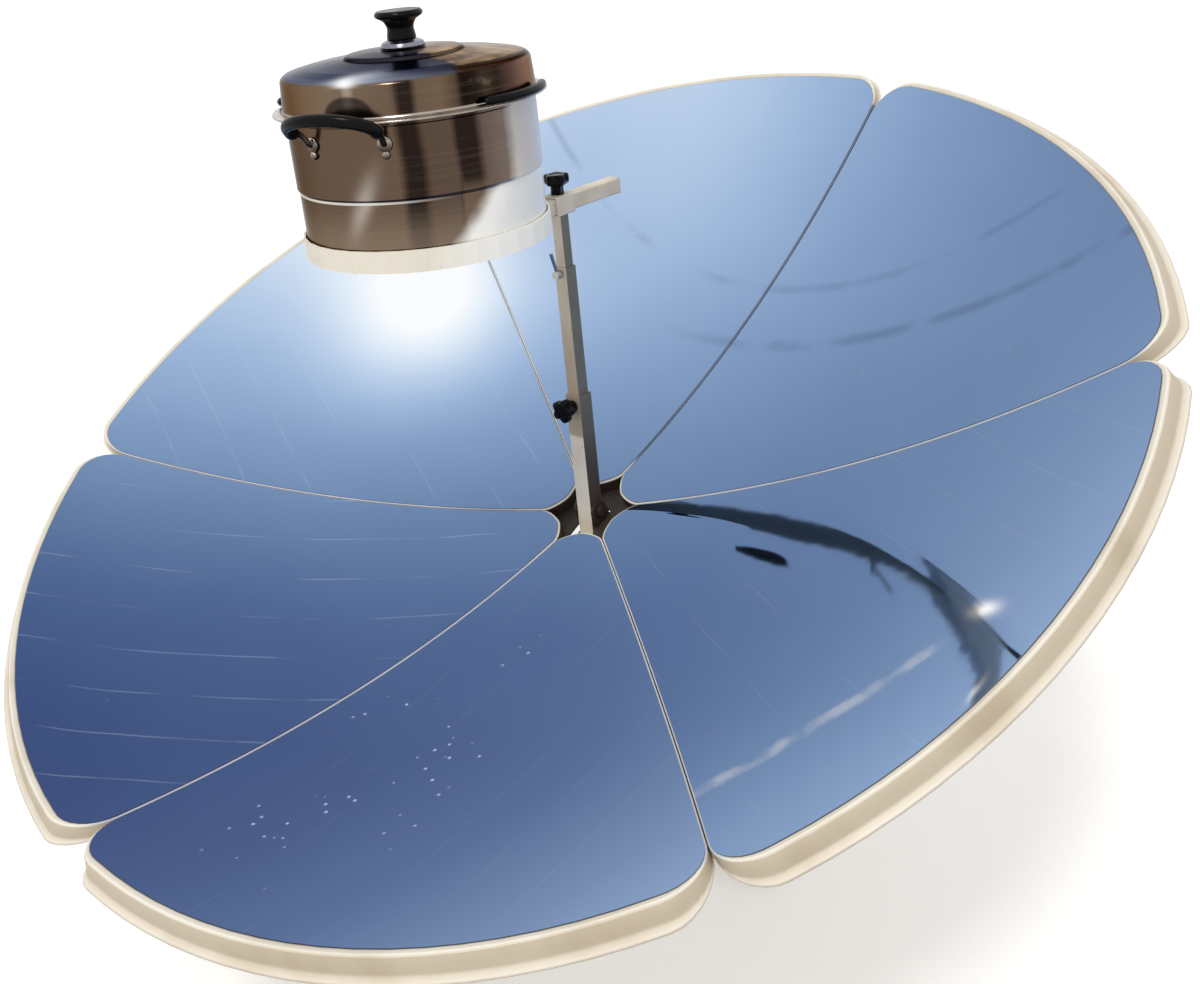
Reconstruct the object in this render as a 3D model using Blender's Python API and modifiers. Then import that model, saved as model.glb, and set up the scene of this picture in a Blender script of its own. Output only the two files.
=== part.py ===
"""A folding-petal parabolic solar cooker with a telescopic pot stand, in metres with Z up.

The origin is on the floor, on the column's axis. The pot stands on the -X side of the post,
and the dish leans towards -X about a cross bolt through the post.
"""

import math

import bmesh
import bpy
from mathutils import Matrix, Vector

GAP = 0.0003
RUNNING_GAP = 0.0006
SHOULDER = 0.0001

# Dish: six petals of a paraboloid, measured along the dish's own axis
PETALS = 6
FOCAL_LENGTH = 0.719
DISH_RADIUS = 0.758
REST_TILT = math.radians(23.4)
FIRST_SEAM = math.radians(-9.5)
SEAM_GAP = 0.0014
PETAL_WALL = 0.003
CORNER_RADIUS = 0.055
NOSE_RADIUS = 0.046
NOSE_FILLET = 0.026
NOSE_FLANGE = 0.018
RIM_FLANGE = 0.022
RIM_FLARE = 0.011
LIP_REACH = 0.009
LIP_DROP = 0.003
FILM_RIM = 0.008
FILM_SIDE = 0.0018
FILM_NOSE = 0.003
FILM_THICKNESS = 0.0008
PETAL_ROWS = 5
PETAL_INNER_COLUMNS = 4
PETAL_CORNER_COLUMNS = 3

# Hub plate under the petals' noses, with the post's slot in its middle
HUB_HEIGHT = 0.52
HUB_RADIUS = 0.105
HUB_THICKNESS = 0.004
SLOT_BACK = 0.019
SLOT_FRONT = 0.048
SLOT_CORNER = 0.003
STUD_CIRCLE = 0.085
STUD_RADIUS = 0.004
STUD_TAIL = 0.010
NUT_HEIGHT = 0.0065
NUT_ACROSS = 0.013

# Tilt hinge
CHEEK_THICKNESS = 0.004
CHEEK_HALF_WIDTH = 0.014
CHEEK_DROP = 0.034
HINGE_RADIUS = 0.004
HINGE_HEAD_HEIGHT = 0.005
QUADRANT_RADIUS = 0.095
QUADRANT_EDGE = 0.013
QUADRANT_NECK = 0.030
TILT_MOST = math.radians(45.0)
QUADRANT_MARGIN = math.radians(9.0)
QUADRANT_PLAY = math.radians(0.5)

# Telescopic post of three square tubes, heights counted from the hinge
POST_SIDE = 0.025
POST_WALL = 0.002
MIDDLE_SIDE = 0.020
MIDDLE_WALL = 0.0015
INNER_SIDE = 0.016
INNER_WALL = 0.0012
TUBE_CORNER = 0.0018
POST_FOOT = -0.130
POST_TOP = 0.1695
MIDDLE_FOOT = 0.060
MIDDLE_TOP = 0.343
INNER_FOOT = 0.220
ARM_HEIGHT = 0.4225
POST_KNOB_HEIGHT = 0.155
TEE_BELOW_TOP = 0.008

# Pot arm and its sleeve
ARM_SIDE = 0.020
ARM_WALL = 0.0015
ARM_BACK = 0.108
ARM_PAST_POT = 0.030
SLEEVE_SIDE = 0.025
SLEEVE_LENGTH = 0.034
CAP_THICKNESS = 0.003
CAP_PLUG = 0.012
POT_REACH = 0.222

# Pot ring, heights counted from the arm's middle
RING_RADIUS = 0.1405
RING_WALL = 0.002
RING_HEIGHT = 0.0240
BAR_WIDTH = 0.020
BAR_THICKNESS = 0.004
BAR_CORNER = 0.0005
RING_BOLT_HEAD = 0.002

# Pot, steamer and lid
POT_RADIUS = 0.1380
POT_BASE_RADIUS = 0.1366
POT_WALL = 0.0014
POT_HEIGHT = 0.1535
POT_BASE_FILLET = 0.010
STEP_ABOVE_BASE = 0.072
STEP_DEPTH = 0.0022
RIM_ROLL = 0.003
STEAMER_WALL = 0.0012
STEAMER_DEPTH = 0.052
STEAMER_GAP = 0.005
STEAMER_TAPER = 0.003
STEAMER_HOLES = 6
STEAMER_HOLE_RADIUS = 0.008
STEAMER_HOLE_CIRCLE = 0.075
STEAMER_HOLE_START = math.radians(5.0)
FLANGE_REACH = 0.0125
GRIP_RADIUS = 0.0050
GRIP_BEARING = math.radians(281.0)
GRIP_HALF_ANGLE = math.radians(22.5)
GRIP_BULGE = 0.006
GRIP_CLEARANCE = 0.003
GRIP_STEPS = 12
LID_WALL = 0.0012
LID_RADIUS = 0.1394
LID_SIDE = 0.036
LID_SHOULDER = 0.008
LID_DISC_RADIUS = 0.066
LID_DISC_RISE = 0.0115
LID_STEP = 0.0030
LID_CROWN = 0.0030
LID_SHAPE = ((0.78, 0.85, 0.0), (0.92, 0.4, 0.5), (0.98, -0.2, 1.0))
KNOB_BASE_RADIUS = 0.0245
KNOB_BASE_HEIGHT = 0.0085
KNOB_BASE_SHAPE = ((0.0, 1.0), (0.62, 1.0), (0.92, 0.65), (1.0, 0.2), (1.0, 0.0), (0.0, 0.0))
LID_KNOB_RADIUS = 0.0265
LID_KNOB_NECK = 0.0145
LID_KNOB_HEIGHT = 0.0300
LID_KNOB_SHAPE = ((0.0, 1.0), (0.75, 1.0), (1.0, 0.88), (0.96, 0.72))
LID_KNOB_STEM = ((1.08, 0.42), (1.0, 0.2), (1.1, 0.0), (0.0, 0.0))
HANDLE_BEARING = math.radians(196.0)
HANDLE_HALF_ANGLE = math.radians(18.5)
HANDLE_REACH = 0.050
HANDLE_RADIUS = 0.0065
HANDLE_RISE = 0.016
HANDLE_BELOW_RIM = 0.005
HANDLE_STANDOFF = 0.018
HANDLE_SQUARENESS = 0.6
HANDLE_STEPS = 12
BRACKET_RADIUS = 0.0035
BRACKET_DROP = 0.018
BRACKET_REACH = 0.007

# Star knobs on threaded studs
KNOB_STUD = 0.004
STAR_LOBES = 5
STAR_RADIUS = 0.0165
STAR_LOBE_DEPTH = 0.0028
STAR_HEIGHT = 0.013
STAR_NECK = 0.012
STAR_NECK_RADIUS = 0.0085
STAR_EDGE = 0.0026
STAR_TOP_RADIUS = 0.0112
STAR_TOP_DEPTH = 0.0017
STAR_POINTS = 25
TEE_ROD = 0.0030
TEE_BOSS = 0.0055
TEE_BOSS_LENGTH = 0.010
TEE_BAR = 0.0024
TEE_LENGTH = 0.030
TEE_RISE = 0.009

# Stand
BUSH_FLANGE = 0.0025
BUSH_WALL = 0.0016
BUSH_LENGTH = 0.070
BUSH_FLANGE_RADIUS = 0.0255
HEAD_THICKNESS = 0.006
HEAD_RADIUS = 0.030
SPIGOT_RADIUS = 0.017
SPIGOT_LENGTH = 0.100
COLUMN_WALL = 0.002
SWIVEL_KNOB_DROP = 0.035
PLATE_SIDE = 0.170
PLATE_THICKNESS = 0.006
PLATE_CORNER = 0.015
LEG_SIDE = 0.025
LEG_WALL = 0.0015
LEG_REACH = 0.420
SIDE_LEG_REACH = 0.260
FOOT_LENGTH = 0.034
FOOT_SIDE = 0.029
FOOT_END = 0.004

PI = math.pi
QUARTER = PI / 2
BEND = 1 - math.cos(PI / 4)
TURN_STEPS = 32
SMALL_TURN_STEPS = 24

# Sizes that follow from the ones above
SPIGOT_BORE = SPIGOT_RADIUS + GAP
BUSH_RADIUS = SPIGOT_BORE + BUSH_WALL
COLUMN_RADIUS = BUSH_RADIUS + GAP + COLUMN_WALL
HEAD_TOP = HUB_HEIGHT + POST_FOOT - GAP
COLUMN_TOP = HEAD_TOP - HEAD_THICKNESS - GAP - BUSH_FLANGE - GAP
COLUMN_FOOT = PLATE_THICKNESS + GAP
PLATE_TOP = NOSE_RADIUS**2 / 4 / FOCAL_LENGTH - NOSE_FLANGE - GAP
CHEEK_INNER = POST_SIDE / 2 + RUNNING_GAP
CHEEK_OUTER = CHEEK_INNER + CHEEK_THICKNESS
SLOT_HALF_WIDTH = CHEEK_OUTER + GAP
ARM_Z = HUB_HEIGHT + ARM_HEIGHT
ARM_TOP = ARM_Z + ARM_SIDE / 2
RING_FOOT = ARM_TOP + GAP
POT_FOOT = RING_FOOT + BAR_THICKNESS + GAP
POT_RIM = POT_FOOT + POT_HEIGHT
FLANGE_FOOT = POT_RIM + GAP
FLANGE_TOP = FLANGE_FOOT + STEAMER_WALL
LID_FOOT = FLANGE_TOP + GAP
LID_EDGE = LID_FOOT + LID_SIDE
LID_TOP = LID_EDGE + LID_DISC_RISE + LID_STEP + LID_CROWN


def clear_scene():
    for old in list(bpy.data.objects):
        bpy.data.objects.remove(old, do_unlink=True)


def new_collection(name):
    made = bpy.data.collections.new(name)
    bpy.context.scene.collection.children.link(made)
    return made


clear_scene()
PARTS = new_collection("solar_cooker")
CUTTERS = new_collection("cutters")


def material(name, colour, roughness, metallic):
    made = bpy.data.materials.new(name)
    made.use_nodes = True
    shader = made.node_tree.nodes["Principled BSDF"]
    shader.inputs["Base Color"].default_value = (*colour, 1)
    shader.inputs["Roughness"].default_value = roughness
    shader.inputs["Metallic"].default_value = metallic
    made.diffuse_color = (*colour, 1)
    return made


FINISHES = {
    "cream": ((0.70, 0.64, 0.52), 0.45, 0.0),
    "mirror": ((0.75, 0.84, 0.95), 0.04, 1.0),
    "dark": ((0.06, 0.04, 0.03), 0.60, 0.3),
    "zinc": ((0.60, 0.60, 0.58), 0.35, 1.0),
    "steel": ((0.66, 0.64, 0.61), 0.18, 1.0),
    "black": ((0.012, 0.011, 0.011), 0.35, 0.0),
    "rubber": ((0.02, 0.02, 0.02), 0.80, 0.0),
    "nylon": ((0.75, 0.74, 0.70), 0.50, 0.0),
}


def empty(name, place, parent=None, turn=(0, 0, 0)):
    """A joint's frame: what moves on the joint is parented to it."""
    made = bpy.data.objects.new(name, None)
    made.location = place
    made.rotation_euler = turn
    made.parent = parent
    PARTS.objects.link(made)
    return made


def finish_node(node, parent, finish, place=(0, 0, 0), turn=(0, 0, 0)):
    node.parent = parent
    node.location = place
    node.rotation_euler = turn
    node.data.materials.clear()
    node.data.materials.append(material(node.name, *FINISHES[finish]))
    return node


def mesh_object(name, shape, collection=None):
    data = bpy.data.meshes.new(name)
    shape.to_mesh(data)
    shape.free()
    made = bpy.data.objects.new(name, data)
    (collection or PARTS).objects.link(made)
    return made


def smooth(node, angle=40):
    node.data.shade_smooth()
    node.data.set_sharp_from_angle(angle=math.radians(angle))


def screwed(name, profile, steps, closed, collection=None):
    """A turned piece about Z: its profile is (radius, height) points, down the outer side first."""
    data = bpy.data.meshes.new(name)
    count = len(profile)
    ends = [(i, (i + 1) % count) for i in range(count if closed else count - 1)]
    edges = [(i, j) for i, j in ends if profile[i][0] > 0 or profile[j][0] > 0]
    data.from_pydata([(radius, 0, height) for radius, height in profile], edges, [])
    made = bpy.data.objects.new(name, data)
    (collection or PARTS).objects.link(made)
    screw = made.modifiers.new("turn", "SCREW")
    screw.steps = steps
    screw.render_steps = steps
    screw.use_merge_vertices = True
    screw.merge_threshold = 0.00001
    screw.use_smooth_shade = True
    return made


def loft(name, rings, points, collection=None):
    """A closed solid along Z through rings of (height, radius at an angle), ends capped."""
    shape = bmesh.new()
    rows = []
    for height, radius_at in rings:
        angles = [2 * PI * i / points for i in range(points)]
        rows.append(
            [
                shape.verts.new((radius_at(a) * math.cos(a), radius_at(a) * math.sin(a), height))
                for a in angles
            ]
        )
    for low, high in zip(rows, rows[1:]):
        for i in range(points):
            j = (i + 1) % points
            shape.faces.new((low[i], low[j], high[j], high[i]))
    shape.faces.new(list(reversed(rows[0])))
    shape.faces.new(rows[-1])
    return mesh_object(name, shape, collection)


def round_section(radius):
    return lambda angle: radius


def square_section(half):
    return lambda angle: half / max(abs(math.cos(angle)), abs(math.sin(angle)))


def hex_section(across):
    def radius_at(angle):
        turned = (angle + PI / 6) % (PI / 3) - PI / 6
        return across / 2 / math.cos(turned)

    return radius_at


def star_section(radius, depth):
    """A star's outline, its lobes' tips at the radius."""
    return lambda angle: radius - depth + depth * math.cos(STAR_LOBES * angle)


def scaled(shape, radius, height):
    """A turned profile from shares of a radius and a height."""
    return [(radius * across, height * up) for across, up in shape]


def rounded_rectangle(half_x, half_y, corner, steps=2):
    """Points of a rectangle with round corners, anticlockwise."""
    found = []
    for k, (sx, sy) in enumerate(((1, 1), (-1, 1), (-1, -1), (1, -1))):
        for i in range(steps + 1):
            a = QUARTER * (k + i / steps)
            x = sx * (half_x - corner) + corner * math.cos(a)
            y = sy * (half_y - corner) + corner * math.sin(a)
            found.append((x, y))
    return found


def circle(radius, points=12, centre=(0, 0)):
    return [
        (
            centre[0] + radius * math.cos(2 * PI * i / points),
            centre[1] + radius * math.sin(2 * PI * i / points),
        )
        for i in range(points)
    ]


def arc(radius, start, end, steps, centre=(0, 0)):
    return [
        (
            centre[0] + radius * math.cos(start + (end - start) * i / steps),
            centre[1] + radius * math.sin(start + (end - start) * i / steps),
        )
        for i in range(steps + 1)
    ]


def sheet(name, outlines, thickness, collection=None):
    """A flat piece in XY from Z = 0 up: its first outline is its edge, and the rest are holes."""
    data = bpy.data.curves.new(name, "CURVE")
    data.dimensions = "2D"
    data.fill_mode = "BOTH"
    data.extrude = thickness / 2
    for outline in outlines:
        spline = data.splines.new("POLY")
        spline.points.add(len(outline) - 1)
        for point, (x, y) in zip(spline.points, outline):
            point.co = (x, y, 0, 1)
        spline.use_cyclic_u = True
    drawn = bpy.data.objects.new(name + "_outline", data)
    bpy.context.scene.collection.objects.link(drawn)
    made = as_mesh(drawn, name, collection)
    made.data.transform(Matrix.Translation((0, 0, thickness / 2)))
    return made


def as_mesh(drawn, name, collection=None):
    """The curve object's mesh with its caps welded; the curve is removed."""
    bpy.context.view_layer.update()
    graph = bpy.context.evaluated_depsgraph_get()
    data = bpy.data.meshes.new_from_object(drawn.evaluated_get(graph))
    data.name = name
    shape = bmesh.new()
    shape.from_mesh(data)
    bmesh.ops.remove_doubles(shape, verts=shape.verts, dist=0.000001)
    shape.to_mesh(data)
    shape.free()
    made = bpy.data.objects.new(name, data)
    made.matrix_world = drawn.matrix_world
    (collection or PARTS).objects.link(made)
    bpy.data.objects.remove(drawn, do_unlink=True)
    return made


def rod(name, points, radius, sides=2):
    """A round bar along a smooth path of points."""
    data = bpy.data.curves.new(name, "CURVE")
    data.dimensions = "3D"
    data.bevel_depth = radius
    data.bevel_resolution = sides
    data.use_fill_caps = True
    spline = data.splines.new("POLY")
    spline.points.add(len(points) - 1)
    for point, place in zip(spline.points, points):
        point.co = (*place, 1)
    drawn = bpy.data.objects.new(name + "_path", data)
    bpy.context.scene.collection.objects.link(drawn)
    made = as_mesh(drawn, name)
    smooth(made)
    return made


def square_tube(name, side, wall, length, corner=TUBE_CORNER):
    """A square tube along Z from 0 to its length."""
    outer = rounded_rectangle(side / 2, side / 2, corner)
    bore = side / 2 - wall
    inner = rounded_rectangle(bore, bore, max(corner - wall, corner / 4), 1)
    return sheet(name, [outer, inner], length)


def combine(node, other, operation="DIFFERENCE"):
    """Cuts the other piece from the node, or joins it to the node."""
    if other.name not in CUTTERS.objects:
        for home in list(other.users_collection):
            home.objects.unlink(other)
        CUTTERS.objects.link(other)
    other.hide_render = True
    other.display_type = "WIRE"
    change = node.modifiers.new(operation.lower(), "BOOLEAN")
    change.operation = operation
    change.object = other
    change.solver = "EXACT"


def cutter_rod(name, radius, start, end, points=12):
    """A round cutter from one point to another, in the frame of the node that it cuts."""
    span = Vector(end) - Vector(start)
    section = round_section(radius)
    made = loft(name, [(0, section), (span.length, section)], points, CUTTERS)
    turn = Vector((0, 0, 1)).rotation_difference(span)
    made.data.transform(Matrix.Translation(start) @ turn.to_matrix().to_4x4())
    return made


def drill(node, radius, start, end):
    """Cuts a round hole between two points of the node's own frame."""
    hole = cutter_rod(node.name + "_hole_" + str(len(node.modifiers)), radius, start, end)
    hole.parent = node
    combine(node, hole)


def star_knob(name, stud_length, parent, place, turn=(0, 0, 0)):
    """A star knob along +Z, its stud from 0 to its length, then its neck and head."""
    head = stud_length + STAR_NECK
    star = star_section(STAR_RADIUS, STAR_LOBE_DEPTH)
    rings = [
        (0, round_section(KNOB_STUD)),
        (stud_length, round_section(KNOB_STUD)),
        (stud_length + SHOULDER, round_section(STAR_NECK_RADIUS)),
        (head - STAR_EDGE, round_section(STAR_NECK_RADIUS)),
        (head, star),
        (head + STAR_HEIGHT - STAR_EDGE, star),
        (head + STAR_HEIGHT, star_section(STAR_TOP_RADIUS + STAR_TOP_DEPTH, STAR_TOP_DEPTH)),
    ]
    node = loft(name, rings, STAR_POINTS)
    smooth(node)
    return finish_node(node, parent, "black", place, turn)


# Joint frames
swivel_frame = empty("swivel_axis", (0, 0, HEAD_TOP))
hinge_frame = empty("hinge_axis", (0, 0, HUB_HEIGHT - HEAD_TOP), swivel_frame)
dish_frame = empty("dish_axis", (0, 0, 0), hinge_frame, (0, -REST_TILT, 0))
middle_frame = empty("middle_slide", (0, 0, 0), hinge_frame)
inner_frame = empty("inner_slide", (0, 0, ARM_HEIGHT), middle_frame)
arm_frame = empty("arm_slide", (0, 0, 0), inner_frame)
pot_frame = empty("pot_axis", (-POT_REACH, 0, POT_FOOT - ARM_Z), arm_frame)
steamer_frame = empty("steamer_axis", (0, 0, POT_HEIGHT), pot_frame)
lid_frame = empty("lid_axis", (0, 0, LID_FOOT - POT_RIM), steamer_frame)


def side_angle(radius, inset):
    """Half a petal's angle at a radius: its side edge runs beside the seam, further in when inset."""
    return PI / PETALS - math.asin((SEAM_GAP / 2 + inset * FILM_SIDE) / radius)


def petal_columns():
    """How far each column of a half petal lies from its side edge, as a share of the half width."""
    half_width = DISH_RADIUS * PI / PETALS
    corner = [
        CORNER_RADIUS * (1 - math.cos(QUARTER * i / PETAL_CORNER_COLUMNS)) / half_width
        for i in range(PETAL_CORNER_COLUMNS + 1)
    ]
    last = corner[-1]
    inner = [last + (1 - last) * (i + 1) / PETAL_INNER_COLUMNS for i in range(PETAL_INNER_COLUMNS)]
    half = corner + inner
    return [(-1, q) for q in half] + [(1, q) for q in reversed(half[:-1])]


def outer_radius(fraction, inset):
    radius = DISH_RADIUS - inset * FILM_RIM
    corner = CORNER_RADIUS - inset * FILM_RIM
    away = corner - min(corner, fraction * side_angle(radius, inset) * radius)
    return radius - corner + math.sqrt(corner**2 - away**2)


def nose_radius(fraction, inset):
    radius = NOSE_RADIUS + inset * FILM_NOSE
    away = NOSE_FILLET - min(NOSE_FILLET, fraction * side_angle(radius, inset) * radius)
    return radius + NOSE_FILLET - math.sqrt(NOSE_FILLET**2 - away**2)


def petal_point(column, share, inset):
    """A point of the paraboloid: inset 0 gives the petal's own outline and 1 the film's."""
    side, fraction = column
    inner = nose_radius(fraction, inset)
    radius = inner + (outer_radius(fraction, inset) - inner) * share
    angle = -side * side_angle(radius, inset) * (1 - fraction)
    return Vector((radius * math.cos(angle), radius * math.sin(angle), radius**2 / 4 / FOCAL_LENGTH))


def film_surface():
    """The film's open sheet about its petal's own +X, its column and row kept on each vertex."""
    columns = petal_columns()
    shape = bmesh.new()
    column_layer = shape.verts.layers.int.new("column")
    row_layer = shape.verts.layers.int.new("row")
    bmesh.ops.create_grid(shape, x_segments=len(columns) - 1, y_segments=PETAL_ROWS, size=1)
    for vert in shape.verts:
        column = round((vert.co.x + 1) / 2 * (len(columns) - 1))
        row = round((vert.co.y + 1) / 2 * PETAL_ROWS)
        vert[column_layer] = column
        vert[row_layer] = row
        vert.co = petal_point(columns[column], row / PETAL_ROWS, 1)
    bmesh.ops.recalc_face_normals(shape, faces=shape.faces)
    if sum(face.normal.z for face in shape.faces) < 0:
        bmesh.ops.reverse_faces(shape, faces=shape.faces)
    return shape


def grow_edge(shape):
    """Extrudes the sheet's open edge and gives back the new vertices."""
    edges = [edge for edge in shape.edges if edge.is_boundary]
    made = bmesh.ops.extrude_edge_only(shape, edges=edges)["geom"]
    return [part for part in made if isinstance(part, bmesh.types.BMVert)]


def petal_surface():
    """The petal's sheet: the film's own facets and a border round them, so that the film lies flat on it."""
    columns = petal_columns()
    shape = film_surface()
    column_layer = shape.verts.layers.int["column"]
    row_layer = shape.verts.layers.int["row"]
    for vert in grow_edge(shape):
        vert.co = petal_point(columns[vert[column_layer]], vert[row_layer] / PETAL_ROWS, 0)
    return shape


def flange_depth(radius):
    share = (radius - NOSE_RADIUS) / (DISH_RADIUS - NOSE_RADIUS)
    return NOSE_FLANGE + (RIM_FLANGE - NOSE_FLANGE) * max(0, min(1, share))


def rim_share(radius):
    """1 along the rim's arc, falling to 0 down the round corner."""
    return max(0, min(1, (radius - DISH_RADIUS + CORNER_RADIUS) / CORNER_RADIUS)) ** 2


def fold_edge(shape, reach, drop_at):
    """Grows the sheet's whole edge down the dish's axis, and outward along the rim."""
    outline = {}
    for vert in grow_edge(shape):
        radius = math.hypot(vert.co.x, vert.co.y)
        outline[vert] = (Vector((vert.co.x, vert.co.y, 0)) / radius, rim_share(radius), drop_at(radius))
    for vert, (outward, share, drop) in outline.items():
        vert.co += outward * reach * share
        vert.co.z -= drop


def add_flange(shape):
    """The flange all round, with a lip at its foot along the rim."""
    fold_edge(shape, RIM_FLARE, lambda radius: flange_depth(radius) - LIP_DROP)
    fold_edge(shape, LIP_REACH, lambda radius: LIP_DROP)


def build_petal(index):
    name = "petal_" + str(index + 1)
    turn = (0, 0, FIRST_SEAM + (index + 0.5) * 2 * PI / PETALS)
    shape = petal_surface()
    add_flange(shape)
    node = mesh_object(name, shape)
    wall = node.modifiers.new("wall", "SOLIDIFY")
    wall.thickness = PETAL_WALL
    wall.offset = -1
    wall.use_even_offset = True
    finish_node(node, dish_frame, "cream", turn=turn)
    stud_top = STUD_CIRCLE**2 / 4 / FOCAL_LENGTH - PETAL_WALL / 2
    stud_foot = PLATE_TOP - HUB_THICKNESS - STUD_TAIL
    stud = cutter_rod(name + "_stud", STUD_RADIUS, (STUD_CIRCLE, 0, stud_foot), (STUD_CIRCLE, 0, stud_top))
    stud.parent = node
    combine(node, stud, "UNION")
    film = mesh_object("mirror_" + str(index + 1), film_surface())
    film_wall = film.modifiers.new("wall", "SOLIDIFY")
    film_wall.thickness = FILM_THICKNESS
    film_wall.offset = 1
    finish_node(film, dish_frame, "mirror", (0, 0, GAP), turn)


def build_hub():
    slot_middle = (SLOT_BACK - SLOT_FRONT) / 2
    slot = rounded_rectangle((SLOT_BACK + SLOT_FRONT) / 2, SLOT_HALF_WIDTH, SLOT_CORNER)
    slot = [(x + slot_middle, y) for x, y in slot]
    outlines = [circle(HUB_RADIUS, TURN_STEPS), slot]
    for index in range(PETALS):
        bearing = FIRST_SEAM + (index + 0.5) * 2 * PI / PETALS
        centre = (STUD_CIRCLE * math.cos(bearing), STUD_CIRCLE * math.sin(bearing))
        outlines.append(circle(STUD_RADIUS + GAP, centre=centre))
        nut_outline = circle(NUT_ACROSS / 2 / math.cos(PI / 6), 6)
        nut = sheet("hub_nut_" + str(index + 1), [nut_outline, circle(STUD_RADIUS + GAP)], NUT_HEIGHT)
        place = (*centre, PLATE_TOP - HUB_THICKNESS - GAP - NUT_HEIGHT)
        finish_node(nut, dish_frame, "zinc", place)
    plate = sheet("hub_plate", outlines, HUB_THICKNESS)
    finish_node(plate, dish_frame, "dark", (0, 0, PLATE_TOP - HUB_THICKNESS))


def build_cheeks():
    """Two plates beside the post, drawn with X as the dish's X and Y as its axis."""
    bore = circle(HINGE_RADIUS + GAP)
    top = arc(CHEEK_HALF_WIDTH, 0, PI, 8)
    plain = top + [(-CHEEK_HALF_WIDTH, -CHEEK_DROP), (CHEEK_HALF_WIDTH, -CHEEK_DROP)]
    cheek = sheet("tilt_cheek", [plain, bore], CHEEK_THICKNESS)
    finish_node(cheek, dish_frame, "dark", (0, -CHEEK_INNER, 0), (QUARTER, 0, 0))
    down = -QUARTER
    edge = QUADRANT_RADIUS + QUADRANT_EDGE
    fan = arc(edge, down - TILT_MOST - QUADRANT_MARGIN, down + QUADRANT_MARGIN, 14)
    neck = [(-CHEEK_HALF_WIDTH, -QUADRANT_NECK), (-CHEEK_HALF_WIDTH * 2, -QUADRANT_NECK)]
    outline = top + neck + fan + [(CHEEK_HALF_WIDTH, -QUADRANT_NECK)]
    slot_half = KNOB_STUD + GAP
    first = down - TILT_MOST - QUADRANT_PLAY
    last = down + QUADRANT_PLAY
    slot = arc(QUADRANT_RADIUS + slot_half, first, last, 12)
    last_centre = (QUADRANT_RADIUS * math.cos(last), QUADRANT_RADIUS * math.sin(last))
    slot += arc(slot_half, last + PI / 6, last + PI * 5 / 6, 4, last_centre)
    slot += arc(QUADRANT_RADIUS - slot_half, last, first, 12)
    first_centre = (QUADRANT_RADIUS * math.cos(first), QUADRANT_RADIUS * math.sin(first))
    slot += arc(slot_half, first + PI * 7 / 6, first + PI * 11 / 6, 4, first_centre)
    quadrant = sheet("tilt_quadrant", [outline, bore, slot], CHEEK_THICKNESS)
    finish_node(quadrant, dish_frame, "dark", (0, CHEEK_OUTER, 0), (QUARTER, 0, 0))


def build_mast():
    head = screwed(
        "swivel_head",
        [
            (0, 0),
            (HEAD_RADIUS, 0),
            (HEAD_RADIUS, -HEAD_THICKNESS),
            (SPIGOT_RADIUS, -HEAD_THICKNESS),
            (SPIGOT_RADIUS, -HEAD_THICKNESS - SPIGOT_LENGTH),
            (0, -HEAD_THICKNESS - SPIGOT_LENGTH),
        ],
        SMALL_TURN_STEPS,
        False,
    )
    finish_node(head, swivel_frame, "zinc")
    post = square_tube("post_outer", POST_SIDE, POST_WALL, POST_TOP - POST_FOOT)
    finish_node(post, hinge_frame, "cream", (0, 0, POST_FOOT))
    half = POST_SIDE / 2
    bolt_level = -POST_FOOT
    drill(post, HINGE_RADIUS + GAP, (0, -half * 2, bolt_level), (0, half * 2, bolt_level))
    tilt_level = bolt_level - QUADRANT_RADIUS
    drill(post, KNOB_STUD + GAP, (0, 0, tilt_level), (0, half * 2, tilt_level))
    knob_level = bolt_level + POST_KNOB_HEIGHT
    drill(post, KNOB_STUD + GAP, (-half * 2, 0, knob_level), (0, 0, knob_level))
    bolt_half = CHEEK_OUTER + GAP
    hexagon = hex_section(NUT_ACROSS)
    shank = round_section(HINGE_RADIUS)
    bolt = loft(
        "hinge_bolt",
        [
            (-bolt_half - HINGE_HEAD_HEIGHT, hexagon),
            (-bolt_half, hexagon),
            (-bolt_half + SHOULDER, shank),
            (bolt_half - SHOULDER, shank),
            (bolt_half, hexagon),
            (bolt_half + HINGE_HEAD_HEIGHT, hexagon),
        ],
        12,
    )
    finish_node(bolt, hinge_frame, "dark", turn=(QUARTER, 0, 0))
    star_knob(
        "tilt_knob",
        CHEEK_OUTER + GAP - half + POST_WALL,
        hinge_frame,
        (0, half - POST_WALL, -QUADRANT_RADIUS),
        (-QUARTER, 0, 0),
    )
    press = MIDDLE_SIDE / 2 + GAP
    star_knob(
        "post_knob",
        half + GAP - press,
        hinge_frame,
        (-press, 0, POST_KNOB_HEIGHT),
        (0, -QUARTER, 0),
    )


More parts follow.
